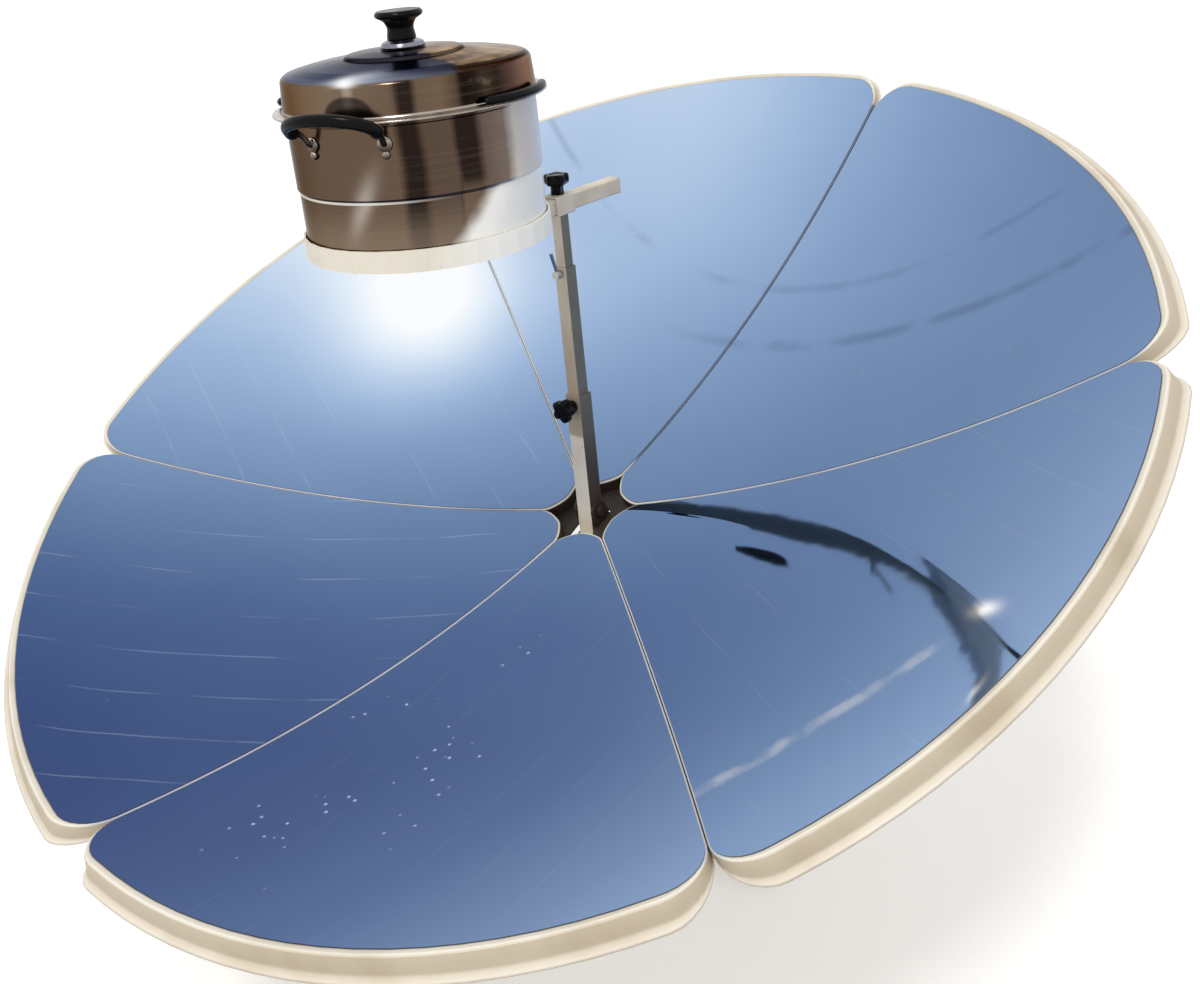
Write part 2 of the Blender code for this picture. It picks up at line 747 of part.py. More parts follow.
def build_post():
    middle = square_tube("post_middle", MIDDLE_SIDE, MIDDLE_WALL, MIDDLE_TOP - MIDDLE_FOOT)
    finish_node(middle, middle_frame, "cream", (0, 0, MIDDLE_FOOT))
    tee_level = MIDDLE_TOP - TEE_BELOW_TOP
    tee_up = tee_level - MIDDLE_FOOT
    drill(middle, TEE_ROD + GAP, (-MIDDLE_SIDE, 0, tee_up), (0, 0, tee_up))
    sleeve_foot = ARM_HEIGHT - SLEEVE_SIDE / 2
    inner = square_tube("post_inner", INNER_SIDE, INNER_WALL, sleeve_foot - GAP - INNER_FOOT)
    finish_node(inner, inner_frame, "cream", (0, 0, INNER_FOOT - ARM_HEIGHT))
    press = INNER_SIDE / 2 + GAP
    boss_start = MIDDLE_SIDE / 2 + GAP - press
    stud = round_section(TEE_ROD)
    boss = round_section(TEE_BOSS)
    tee = loft(
        "tee_bolt",
        [(0, stud), (boss_start, stud), (boss_start + SHOULDER, boss), (boss_start + TEE_BOSS_LENGTH, boss)],
        12,
    )
    bar_level = boss_start + TEE_BOSS_LENGTH / 2
    bar = cutter_rod("tee_bar", TEE_BAR, (0, 0, bar_level), (TEE_LENGTH, 0, bar_level + TEE_RISE), 10)
    bar.parent = tee
    combine(tee, bar, "UNION")
    finish_node(tee, middle_frame, "zinc", (-press, 0, tee_level), (0, -QUARTER, 0))
    sleeve_wall = (SLEEVE_SIDE - ARM_SIDE) / 2 - RUNNING_GAP
    sleeve = square_tube("arm_sleeve", SLEEVE_SIDE, sleeve_wall, SLEEVE_LENGTH)
    finish_node(sleeve, inner_frame, "cream", (-SLEEVE_LENGTH / 2, 0, 0), (0, QUARTER, 0))
    drill(sleeve, KNOB_STUD + GAP, (0, 0, SLEEVE_LENGTH / 2), (-SLEEVE_SIDE, 0, SLEEVE_LENGTH / 2))
    arm_press = ARM_SIDE / 2 + GAP
    star_knob("arm_knob", SLEEVE_SIDE / 2 + GAP - arm_press, inner_frame, (0, 0, arm_press))


def build_arm():
    front = POT_REACH + ARM_PAST_POT
    arm = square_tube("arm_tube", ARM_SIDE, ARM_WALL, front + ARM_BACK)
    finish_node(arm, arm_frame, "cream", (-front, 0, 0), (0, QUARTER, 0))
    bolt_at = front - POT_REACH
    drill(arm, STUD_RADIUS + GAP, (-ARM_SIDE, 0, bolt_at), (ARM_SIDE, 0, bolt_at))
    plug = ARM_SIDE / 2 - ARM_WALL - GAP
    cap_face = square_section(ARM_SIDE / 2)
    cap = loft(
        "arm_cap",
        [
            (-CAP_PLUG, square_section(plug)),
            (GAP, square_section(plug)),
            (GAP + SHOULDER, cap_face),
            (CAP_THICKNESS, cap_face),
        ],
        8,
    )
    finish_node(cap, arm_frame, "black", (ARM_BACK, 0, 0), (0, QUARTER, 0))
    ring = screwed(
        "pot_ring",
        [
            (RING_RADIUS, RING_HEIGHT),
            (RING_RADIUS, 0),
            (RING_RADIUS - RING_WALL, 0),
            (RING_RADIUS - RING_WALL, RING_HEIGHT),
        ],
        TURN_STEPS,
        True,
    )
    finish_node(ring, arm_frame, "cream", (-POT_REACH, 0, RING_FOOT - ARM_Z))
    half_bar = RING_RADIUS - RING_WALL / 2
    for label, half_x, half_y in (("x", half_bar, BAR_WIDTH / 2), ("y", BAR_WIDTH / 2, half_bar)):
        bar_outline = rounded_rectangle(half_x, half_y, BAR_CORNER, 1)
        bar = sheet("ring_bar_" + label, [bar_outline], BAR_THICKNESS, CUTTERS)
        bar.parent = ring
        combine(ring, bar, "UNION")
    drill(ring, STUD_RADIUS + GAP, (0, 0, -BAR_THICKNESS), (0, 0, BAR_THICKNESS * 2))
    sink = BAR_THICKNESS - RING_BOLT_HEAD
    drill(ring, NUT_ACROSS / 2 + 2 * GAP, (0, 0, sink - GAP), (0, 0, BAR_THICKNESS * 2))
    nut_top = -ARM_SIDE - GAP * 2
    bolt = loft(
        "ring_bolt",
        [
            (nut_top - NUT_HEIGHT, hex_section(NUT_ACROSS)),
            (nut_top, hex_section(NUT_ACROSS)),
            (nut_top + SHOULDER, round_section(STUD_RADIUS)),
            (sink - SHOULDER, round_section(STUD_RADIUS)),
            (sink, round_section(NUT_ACROSS / 2)),
            (BAR_THICKNESS - GAP, round_section(NUT_ACROSS / 2)),
        ],
        12,
    )
    finish_node(bolt, arm_frame, "zinc", (-POT_REACH, 0, RING_FOOT - ARM_Z))


def pot_profile():
    """Outer side from the rolled rim down to the base, then the inner side back up."""
    wall = POT_WALL
    fillet = POT_BASE_FILLET
    bend = fillet * BEND
    step = STEP_ABOVE_BASE
    low = POT_RADIUS - STEP_DEPTH
    roll = arc(RIM_ROLL, QUARTER, -PI / 4, 3, (POT_RADIUS + RIM_ROLL, POT_HEIGHT - RIM_ROLL))
    outer = roll + [
        (POT_RADIUS, POT_HEIGHT - 2 * RIM_ROLL),
        (POT_RADIUS, step + STEP_DEPTH),
        (low, step),
        (POT_BASE_RADIUS, fillet),
        (POT_BASE_RADIUS - bend, bend),
        (POT_BASE_RADIUS - fillet, 0),
        (0, 0),
    ]
    inner = [
        (0, wall),
        (POT_BASE_RADIUS - fillet, wall),
        (POT_BASE_RADIUS - bend - wall * (1 - BEND), bend + wall * (1 - BEND)),
        (POT_BASE_RADIUS - wall, fillet),
        (low - wall, step),
        (POT_RADIUS - wall, step + STEP_DEPTH),
        (POT_RADIUS - wall, POT_HEIGHT),
    ]
    return outer + inner


def build_pot():
    pot = screwed("pot", pot_profile(), TURN_STEPS, True)
    finish_node(pot, pot_frame, "steel")
    for index, bearing in enumerate((HANDLE_BEARING, HANDLE_BEARING - PI)):
        build_handle(index, bearing)


def around(bearing, radius, height):
    return (radius * math.cos(bearing), radius * math.sin(bearing), height)


def build_handle(index, bearing):
    """A loop handle and its two brackets, each from the wall to an end of the grip."""
    level = POT_HEIGHT - HANDLE_BELOW_RIM
    start = POT_RADIUS + HANDLE_STANDOFF
    reach = HANDLE_REACH - HANDLE_STANDOFF - HANDLE_RADIUS
    points = []
    for i in range(HANDLE_STEPS + 1):
        share = i / HANDLE_STEPS
        bulge = math.sin(PI * share) ** HANDLE_SQUARENESS
        angle = bearing + HANDLE_HALF_ANGLE * math.cos(PI * share)
        points.append(around(angle, start + reach * bulge, level + HANDLE_RISE * bulge))
    grip = rod("handle_" + str(index + 1), points, HANDLE_RADIUS, 1)
    finish_node(grip, pot_frame, "black")
    ends = ((points[0], points[1], 1), (points[-1], points[-2], -1))
    for number, (tip, beyond, side) in enumerate(ends):
        angle = bearing + side * HANDLE_HALF_ANGLE
        foot_level = level - BRACKET_DROP
        inward = (Vector(tip) - Vector(beyond)).normalized()
        seat = Vector(tip) + inward * GAP
        path = [
            around(angle, POT_RADIUS + GAP, foot_level),
            around(angle, POT_RADIUS + BRACKET_REACH, foot_level),
            seat + inward * BRACKET_REACH,
            seat,
        ]
        bracket = rod("handle_bracket_" + str(index * 2 + number + 1), path, BRACKET_RADIUS, 1)
        finish_node(bracket, pot_frame, "steel")


def build_steamer():
    """A basket hung in the pot by its flange, with two grips on the flange."""
    wall = STEAMER_WALL
    reach = POT_RADIUS + FLANGE_REACH
    side = POT_RADIUS - POT_WALL - STEAMER_GAP
    foot = -STEAMER_DEPTH
    basket = screwed(
        "steamer",
        [
            (reach, GAP + wall),
            (reach, GAP),
            (side, GAP),
            (side - STEAMER_TAPER, foot),
            (0, foot),
            (0, foot + wall),
            (side - STEAMER_TAPER - wall, foot + wall),
            (side - wall, GAP + wall),
        ],
        TURN_STEPS,
        True,
    )
    finish_node(basket, steamer_frame, "steel")
    for index in range(STEAMER_HOLES):
        bearing = STEAMER_HOLE_START + 2 * PI * index / STEAMER_HOLES
        drill(
            basket,
            STEAMER_HOLE_RADIUS,
            around(bearing, STEAMER_HOLE_CIRCLE, foot - wall),
            around(bearing, STEAMER_HOLE_CIRCLE, foot + wall * 2),
        )
    for index, bearing in enumerate((GRIP_BEARING, GRIP_BEARING - PI)):
        level = GAP + wall + GAP + GRIP_RADIUS
        base = LID_RADIUS + GRIP_RADIUS + GRIP_CLEARANCE
        points = []
        for i in range(GRIP_STEPS + 1):
            share = 2 * i / GRIP_STEPS - 1
            angle = bearing + GRIP_HALF_ANGLE * share
            points.append(around(angle, base + GRIP_BULGE * (1 - share**2), level))
        grip = rod("steamer_grip_" + str(index + 1), points, GRIP_RADIUS, 1)
        finish_node(grip, steamer_frame, "black")


def lid_curve(inset):
    """Outer side of the lid from its crown to its edge, drawn in by a wall's thickness."""
    top = LID_SIDE + LID_DISC_RISE + LID_STEP + LID_CROWN - inset
    shoulder = [
        (LID_RADIUS * across - inset * drawn, LID_SIDE + LID_SHOULDER * up - inset * (up > 0))
        for across, up, drawn in LID_SHAPE
    ]
    return [
        (0, top),
        (LID_DISC_RADIUS / 2, top - LID_CROWN / 4),
        (LID_DISC_RADIUS - inset, top - LID_CROWN),
        (LID_DISC_RADIUS - inset, top - LID_CROWN - LID_STEP),
        *shoulder,
        (LID_RADIUS - inset, 0),
    ]


def build_lid():
    """The domed lid, the bright base on it and the knob above."""
    lid = screwed("lid", lid_curve(0) + list(reversed(lid_curve(LID_WALL))), TURN_STEPS, True)
    finish_node(lid, lid_frame, "steel")
    top = LID_TOP - LID_FOOT
    base_profile = scaled(KNOB_BASE_SHAPE, KNOB_BASE_RADIUS, KNOB_BASE_HEIGHT)
    base = screwed("lid_knob_base", base_profile, SMALL_TURN_STEPS, False)
    finish_node(base, lid_frame, "steel", (0, 0, top + GAP))
    knob_profile = scaled(LID_KNOB_SHAPE, LID_KNOB_RADIUS, LID_KNOB_HEIGHT)
    knob_profile += scaled(LID_KNOB_STEM, LID_KNOB_NECK, LID_KNOB_HEIGHT)
    knob = screwed("lid_knob", knob_profile, SMALL_TURN_STEPS, False)
    finish_node(knob, lid_frame, "black", (0, 0, top + GAP * 2 + KNOB_BASE_HEIGHT))


def build_stand():
    plate = sheet(
        "base_plate",
        [rounded_rectangle(PLATE_SIDE / 2, PLATE_SIDE / 2, PLATE_CORNER, 3)],
        PLATE_THICKNESS,
    )
    finish_node(plate, None, "cream")
    column = screwed(
        "column",
        [
            (COLUMN_RADIUS, COLUMN_TOP),
            (COLUMN_RADIUS, COLUMN_FOOT),
            (COLUMN_RADIUS - COLUMN_WALL, COLUMN_FOOT),
            (COLUMN_RADIUS - COLUMN_WALL, COLUMN_TOP),
        ],
        SMALL_TURN_STEPS,
        True,
    )
    finish_node(column, None, "cream")
    bush_top = COLUMN_TOP + GAP + BUSH_FLANGE
    bush = screwed(
        "swivel_bush",
        [
            (BUSH_FLANGE_RADIUS, bush_top),
            (BUSH_FLANGE_RADIUS, bush_top - BUSH_FLANGE),
            (BUSH_RADIUS, bush_top - BUSH_FLANGE),
            (BUSH_RADIUS, bush_top - BUSH_LENGTH),
            (SPIGOT_BORE, bush_top - BUSH_LENGTH),
            (SPIGOT_BORE, bush_top),
        ],
        SMALL_TURN_STEPS,
        True,
    )
    finish_node(bush, None, "nylon")
    knob_level = COLUMN_TOP - SWIVEL_KNOB_DROP
    for node in (column, bush):
        drill(node, KNOB_STUD + GAP, (0, -COLUMN_RADIUS * 2, knob_level), (0, 0, knob_level))
    press = SPIGOT_RADIUS + GAP
    stud_length = COLUMN_RADIUS + GAP - press
    star_knob("swivel_knob", stud_length, None, (0, -press, knob_level), (QUARTER, 0, 0))
    leg_start = COLUMN_RADIUS + GAP
    leg_level = PLATE_THICKNESS + GAP + LEG_SIDE / 2
    for index in range(4):
        reach = SIDE_LEG_REACH if index % 2 else LEG_REACH
        bearing = index * QUARTER
        frame = empty("leg_frame_" + str(index + 1), (0, 0, 0), turn=(0, 0, bearing))
        leg_length = reach - FOOT_END - GAP - leg_start
        leg = square_tube("leg_" + str(index + 1), LEG_SIDE, LEG_WALL, leg_length)
        finish_node(leg, frame, "cream", (leg_start, 0, leg_level), (0, QUARTER, 0))
        pad = PLATE_THICKNESS
        inner = reach - FOOT_LENGTH
        end = reach - FOOT_END
        top = leg_level + LEG_SIDE / 2
        foot = sheet(
            "foot_" + str(index + 1),
            [[(inner, 0), (reach, 0), (reach, top), (end, top), (end, pad), (inner, pad)]],
            FOOT_SIDE,
        )
        finish_node(foot, frame, "rubber", (0, FOOT_SIDE / 2, 0), (QUARTER, 0, 0))


for petal_index in range(PETALS):
    build_petal(petal_index)
build_hub()
build_cheeks()
build_mast()
build_post()
build_arm()
build_pot()
build_steamer()
build_lid()
build_stand()
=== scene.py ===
"""Looks of the six-petal solar cooker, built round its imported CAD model, in metres with Z up."""

import math

import bmesh
import bpy
from mathutils import Matrix, Vector


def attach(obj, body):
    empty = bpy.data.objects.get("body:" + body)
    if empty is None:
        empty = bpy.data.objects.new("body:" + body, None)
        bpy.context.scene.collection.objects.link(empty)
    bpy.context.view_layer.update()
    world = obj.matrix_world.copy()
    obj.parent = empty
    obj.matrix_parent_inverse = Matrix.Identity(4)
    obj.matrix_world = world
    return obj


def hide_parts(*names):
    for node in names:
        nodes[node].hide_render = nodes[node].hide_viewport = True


PI = math.pi
QUARTER = PI / 2

# Sizes that the model's source holds too
PETALS = 6
FOCAL_LENGTH = 0.719
DISH_RADIUS = 0.758
REST_TILT = math.radians(23.4)
FIRST_SEAM = math.radians(-9.5)
SEAM_GAP = 0.0014
PETAL_WALL = 0.003
CORNER_RADIUS = 0.055
NOSE_RADIUS = 0.046
NOSE_FILLET = 0.026
NOSE_FLANGE = 0.018
RIM_FLANGE = 0.022
RIM_FLARE = 0.011
LIP_REACH = 0.009
LIP_DROP = 0.003
FILM_RIM = 0.008
FILM_SIDE = 0.0018
FILM_NOSE = 0.003
FILM_THICKNESS = 0.0008
GAP = 0.0003
HUB_HEIGHT = 0.52
ARM_Z = 0.9425
POT_X = -0.222
POT_FOOT = 0.9571
POT_RIM = 1.1106

CAMERA_PLACE = (-1.3005, -1.1962, 1.3339)
CAMERA_RIGHT = (0.63695, -0.76558, -0.09049)
CAMERA_DOWN = (-0.36829, -0.19907, -0.90815)
CAMERA_AHEAD = (0.67725, 0.61177, -0.40875)
CAMERA_LENS = 42.345

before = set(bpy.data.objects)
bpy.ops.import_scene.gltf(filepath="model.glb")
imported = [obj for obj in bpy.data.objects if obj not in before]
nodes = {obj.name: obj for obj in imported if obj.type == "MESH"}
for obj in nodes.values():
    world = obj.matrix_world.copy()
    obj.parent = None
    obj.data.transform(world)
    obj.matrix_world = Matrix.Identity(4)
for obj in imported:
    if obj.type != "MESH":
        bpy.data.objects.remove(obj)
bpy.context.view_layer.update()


def srgb(red, green, blue):
    """A colour as read from a picture, 0 to 255, in Blender's linear values."""
    shares = [value / 255 for value in (red, green, blue)]
    return tuple(s / 12.92 if s < 0.04045 else ((s + 0.055) / 1.055) ** 2.4 for s in shares)


class Paint:
    """A material and short calls that add nodes to it; a value is a number, a colour or a socket."""

    def __init__(self, name, roughness=0.5, metallic=0.0, **constants):
        self.material = bpy.data.materials.new(name)
        self.material.use_nodes = True
        self.tree = self.material.node_tree
        self.shader = self.tree.nodes["Principled BSDF"]
        self.set("Roughness", roughness)
        self.set("Metallic", metallic)
        for label, value in constants.items():
            self.set(label.replace("_", " "), value)

    def set(self, label, value):
        self.put(self.shader.inputs[label], value)

    def put(self, socket, value):
        if isinstance(value, bpy.types.NodeSocket):
            self.tree.links.new(value, socket)
        elif isinstance(value, tuple) and len(value) == 3 and socket.type == "RGBA":
            socket.default_value = (*value, 1)
        else:
            socket.default_value = value

    def node(self, kind, inputs=(), **settings):
        """A node with its inputs, given in order or by label, and its settings."""
        made = self.tree.nodes.new(kind)
        for label, value in settings.items():
            setattr(made, label, value)
        for key, value in inputs.items() if isinstance(inputs, dict) else enumerate(inputs):
            self.put(made.inputs[key], value)
        return made

    def place(self, shift=(0, 0, 0), turn=(0, 0, 0), scale=(1, 1, 1), source=None):
        """Coordinates moved, turned and scaled: the object's own, or those given."""
        source = source or self.node("ShaderNodeTexCoord").outputs["Object"]
        inputs = {"Vector": source, "Location": shift, "Rotation": turn, "Scale": scale}
        return self.node("ShaderNodeMapping", inputs).outputs[0]

    def in_dish(self):
        """Coordinates in the dish's own frame, for pieces built where the dish rests."""
        low = (-HUB_HEIGHT * math.sin(REST_TILT), 0, -HUB_HEIGHT * math.cos(REST_TILT))
        return self.place(shift=low, turn=(0, REST_TILT, 0))

    def axes(self, vector):
        return tuple(self.node("ShaderNodeSeparateXYZ", [vector]).outputs)

    def math(self, operation, *values):
        return self.node("ShaderNodeMath", values, operation=operation).outputs[0]

    def add(self, *values):
        total = values[0]
        for value in values[1:]:
            total = self.math("ADD", total, value)
        return total

    def times(self, *values):
        total = values[0]
        for value in values[1:]:
            total = self.math("MULTIPLY", total, value)
        return total

    def smooth(self, value, low, high):
        """0 below low and 1 above high, smooth between; low may be the larger."""
        inputs = {"Value": value, "From Min": min(low, high), "From Max": max(low, high)}
        inputs["To Min"], inputs["To Max"] = (0.0, 1.0) if low < high else (1.0, 0.0)
        return self.node("ShaderNodeMapRange", inputs, interpolation_type="SMOOTHSTEP").outputs[0]

    def band(self, value, low, high, soft):
        """1 between low and high, falling to 0 over soft on each side."""
        return self.times(self.smooth(value, low - soft, low), self.smooth(value, high + soft, high))

    def noise(self, vector, scale, detail=3.0, rough=0.5):
        inputs = {"Vector": vector, "Scale": scale, "Detail": detail, "Roughness": rough}
        return self.node("ShaderNodeTexNoise", inputs).outputs[0]

    def ramp(self, value, stops):
        """A colour ramp through (place, colour) stops, the colours as srgb takes them."""
        made = self.node("ShaderNodeValToRGB", [value])
        elements = made.color_ramp.elements
        while len(elements) < len(stops):
            elements.new(0.5)
        for element, (place, colour) in zip(elements, stops):
            element.position = place
            element.color = (*srgb(*colour), 1)
        return made.outputs[0]

    def mix(self, share, first, second, mode="MIX"):
        inputs = {0: share, 6: first, 7: second}
        return self.node("ShaderNodeMix", inputs, data_type="RGBA", blend_type=mode).outputs[2]

    def over(self, base, colour, *shares):
        """The colour laid over the base, as strongly as the product of the shares."""
        return self.mix(self.times(*shares), base, colour)

    def ripple(self, vector, scale, reach, detail=3.0, rough=0.5):
        """Noise about zero, half the reach to either side."""
        return self.times(self.math("SUBTRACT", self.noise(vector, scale, detail, rough), 0.5), reach)

    def radius(self, x, y):
        return self.math("SQRT", self.add(self.times(x, x), self.times(y, y)))

    def along(self, x, y, direction):
        """How far a place lies along a direction in plan."""
        return self.add(self.times(x, direction[0]), self.times(y, direction[1]))

    def leaned(self, across, along):
        """The surface's normal, leaned back along the dish's X and Y."""
        back = self.times(across, -math.cos(REST_TILT))
        down = self.times(across, -math.sin(REST_TILT))
        shift = self.node("ShaderNodeCombineXYZ", [back, self.times(along, -1.0), down]).outputs
        kinds = {"vector_type": "VECTOR", "convert_from": "OBJECT", "convert_to": "WORLD"}
        turned = self.node("ShaderNodeVectorTransform", shift, **kinds).outputs[0]
        both = [self.node("ShaderNodeNewGeometry").outputs["Normal"], turned]
        total = self.node("ShaderNodeVectorMath", both, operation="ADD").outputs[0]
        return self.node("ShaderNodeVectorMath", [total], operation="NORMALIZE").outputs[0]

    def bump(self, height, distance, strength=1.0, normal=None):
        inputs = {"Height": height, "Distance": distance, "Strength": strength}
        if normal is not None:
            inputs["Normal"] = normal
        self.set("Normal", self.node("ShaderNodeBump", inputs).outputs[0])


# The moulded plastic's colours from the film's edge (0) round the fold, flange and lip (1), with light
# and shade painted in: a painted highlight along the fold and on the lip's top, tan painted shade on the
# flange's wall and painted shade under the lip
CREAM_LIGHT_AND_SHADE_TONES = (
    (0.0, (112, 106, 100)),
    (0.018, (222, 213, 196)),
    (0.12, (247, 242, 230)),
    (0.24, (238, 230, 213)),
    (0.34, (203, 190, 168)),
    (0.56, (198, 185, 163)),
    (0.64, (226, 215, 196)),
    (0.76, (240, 231, 216)),
    (0.88, (176, 164, 145)),
    (1.0, (206, 195, 176)),
)


def moulded_cream():
    """Cream moulded plastic with cloudy dust and grain, and light and shade painted in: a painted
    highlight along the fold, painted shade on the flange, under the lip, round the hub's opening and
    along the side folds, and a painted shadow along one seam.
    """
    paint = Paint("petal_plastic", 0.42, Specular_IOR_Level=0.4)
    position = paint.in_dish()
    cloud = paint.noise(position, 9.0, 4.0)
    grain = paint.noise(position, 420.0, 2.0)
    across = paint.node("ShaderNodeAttribute", attribute_name="edge").outputs["Fac"]
    body = paint.ramp(across, CREAM_LIGHT_AND_SHADE_TONES)
    dusty = paint.mix(paint.smooth(cloud, 0.45, 0.75), body, srgb(206, 191, 164), "MULTIPLY")
    shade = paint.mix(0.35, body, dusty)
    x, y, _ = paint.axes(position)
    radius = paint.radius(x, y)
    # Painted shade: the flange's walls round the hub's opening are darkened to a dark brown.
    hub_shade = paint.smooth(radius, 0.082, 0.062)
    shade = paint.over(shade, srgb(58, 46, 38), hub_shade, paint.smooth(across, 0.25, 0.36))
    # Painted shade: the side folds between the hub and the rim are toned down to blue-grey.
    between = paint.times(paint.smooth(radius, 0.742, 0.72), paint.smooth(radius, 0.08, 0.14))
    shade = paint.over(shade, srgb(164, 180, 206), between, paint.smooth(across, 0.34, 0.3), 0.5)
    off = paint.math("ABSOLUTE", paint.add(y, paint.times(x, -math.tan(FIRST_SEAM))))
    shadow = paint.times(paint.smooth(off, 0.0040, 0.0030), paint.smooth(x, 0.08, 0.11))
    shade = paint.over(shade, srgb(64, 78, 108), shadow, paint.smooth(radius, 0.742, 0.736), 0.8)
    paint.set("Base Color", paint.mix(paint.smooth(grain, 0.75, 0.82), shade, srgb(184, 168, 142)))
    paint.set("Roughness", paint.add(0.34, paint.times(cloud, 0.2)))
    paint.bump(grain, 0.0002, 0.4)
    return paint.material


# The film's colours by brightness of its painted sky reflection
FILM_SKY_REFLECTION_TONES = (
    (0.30, (54, 73, 121)),
    (0.42, (79, 103, 147)),
    (0.525, (108, 134, 173)),
    (0.62, (131, 158, 196)),
    (0.72, (157, 183, 218)),
    (0.82, (188, 208, 234)),
    (0.92, (222, 235, 248)),
    (1.0, (250, 252, 255)),
)
# The painted sky reflection's brightness over the dish: (factor, power of x, power of y), with x and y in
# metres
FILM_REFLECTION_TERMS = (
    (0.507, 0, 0),
    (0.405, 1, 0),
    (0.218, 0, 1),
    (0.050, 2, 0),
    (0.538, 1, 1),
    (0.304, 0, 2),
    (-0.274, 3, 0),
    (-0.193, 2, 1),
    (-0.356, 1, 2),
    (-0.226, 0, 3),
)


def hill(paint, x, y, centre, width, depth):
    """A round bright patch: 1 at its centre, falling off over its width and depth."""
    across = paint.math("DIVIDE", paint.math("SUBTRACT", x, centre[0]), width)
    along = paint.math("DIVIDE", paint.math("SUBTRACT", y, centre[1]), depth)
    square = paint.add(paint.times(across, across), paint.times(along, along))
    return paint.math("EXPONENT", paint.times(square, -1.0))


# The petal that mirrors the post, and how strongly each petal's film shows the edges of its strips
POST_PETAL = 4
STRIP_MARKS = (0.03, 0.14, 0.19, 0.04, 0.05, 0.03)
STRIP_TURN = math.radians(-21)
STRIP_WIDTH = 0.077
STRIP_SHIFT = 0.053


def film_lean(paint, x, y):
    """The normal of the wavy film that mirrors the post and its knob as the photograph shows them."""
    bend = paint.add(y, 0.17)
    path = paint.add(x, -0.04, paint.times(bend, bend, 0.767))
    near = paint.smooth(path, 0.07, 0.02)
    low = paint.times(paint.smooth(path, -0.012, -0.026), paint.smooth(y, -0.27, -0.21))
    knob = hill(paint, x, y, (-0.0453, -0.3354), 0.0856, 0.1108)
    across = paint.add(paint.times(near, 0.20), paint.times(low, 0.22), paint.times(knob, 0.1106))
    return paint.leaned(across, paint.times(knob, -0.1684))


def long_mark(paint, x, y, top, curve, centre, width):
    """A curved line across the film at x = top + curve * (y - centre)^2, 1 in its middle."""
    away = paint.add(y, -centre)
    off = paint.math("ABSOLUTE", paint.add(x, -top, paint.times(away, away, -curve)))
    return paint.smooth(off, width, 0.0)


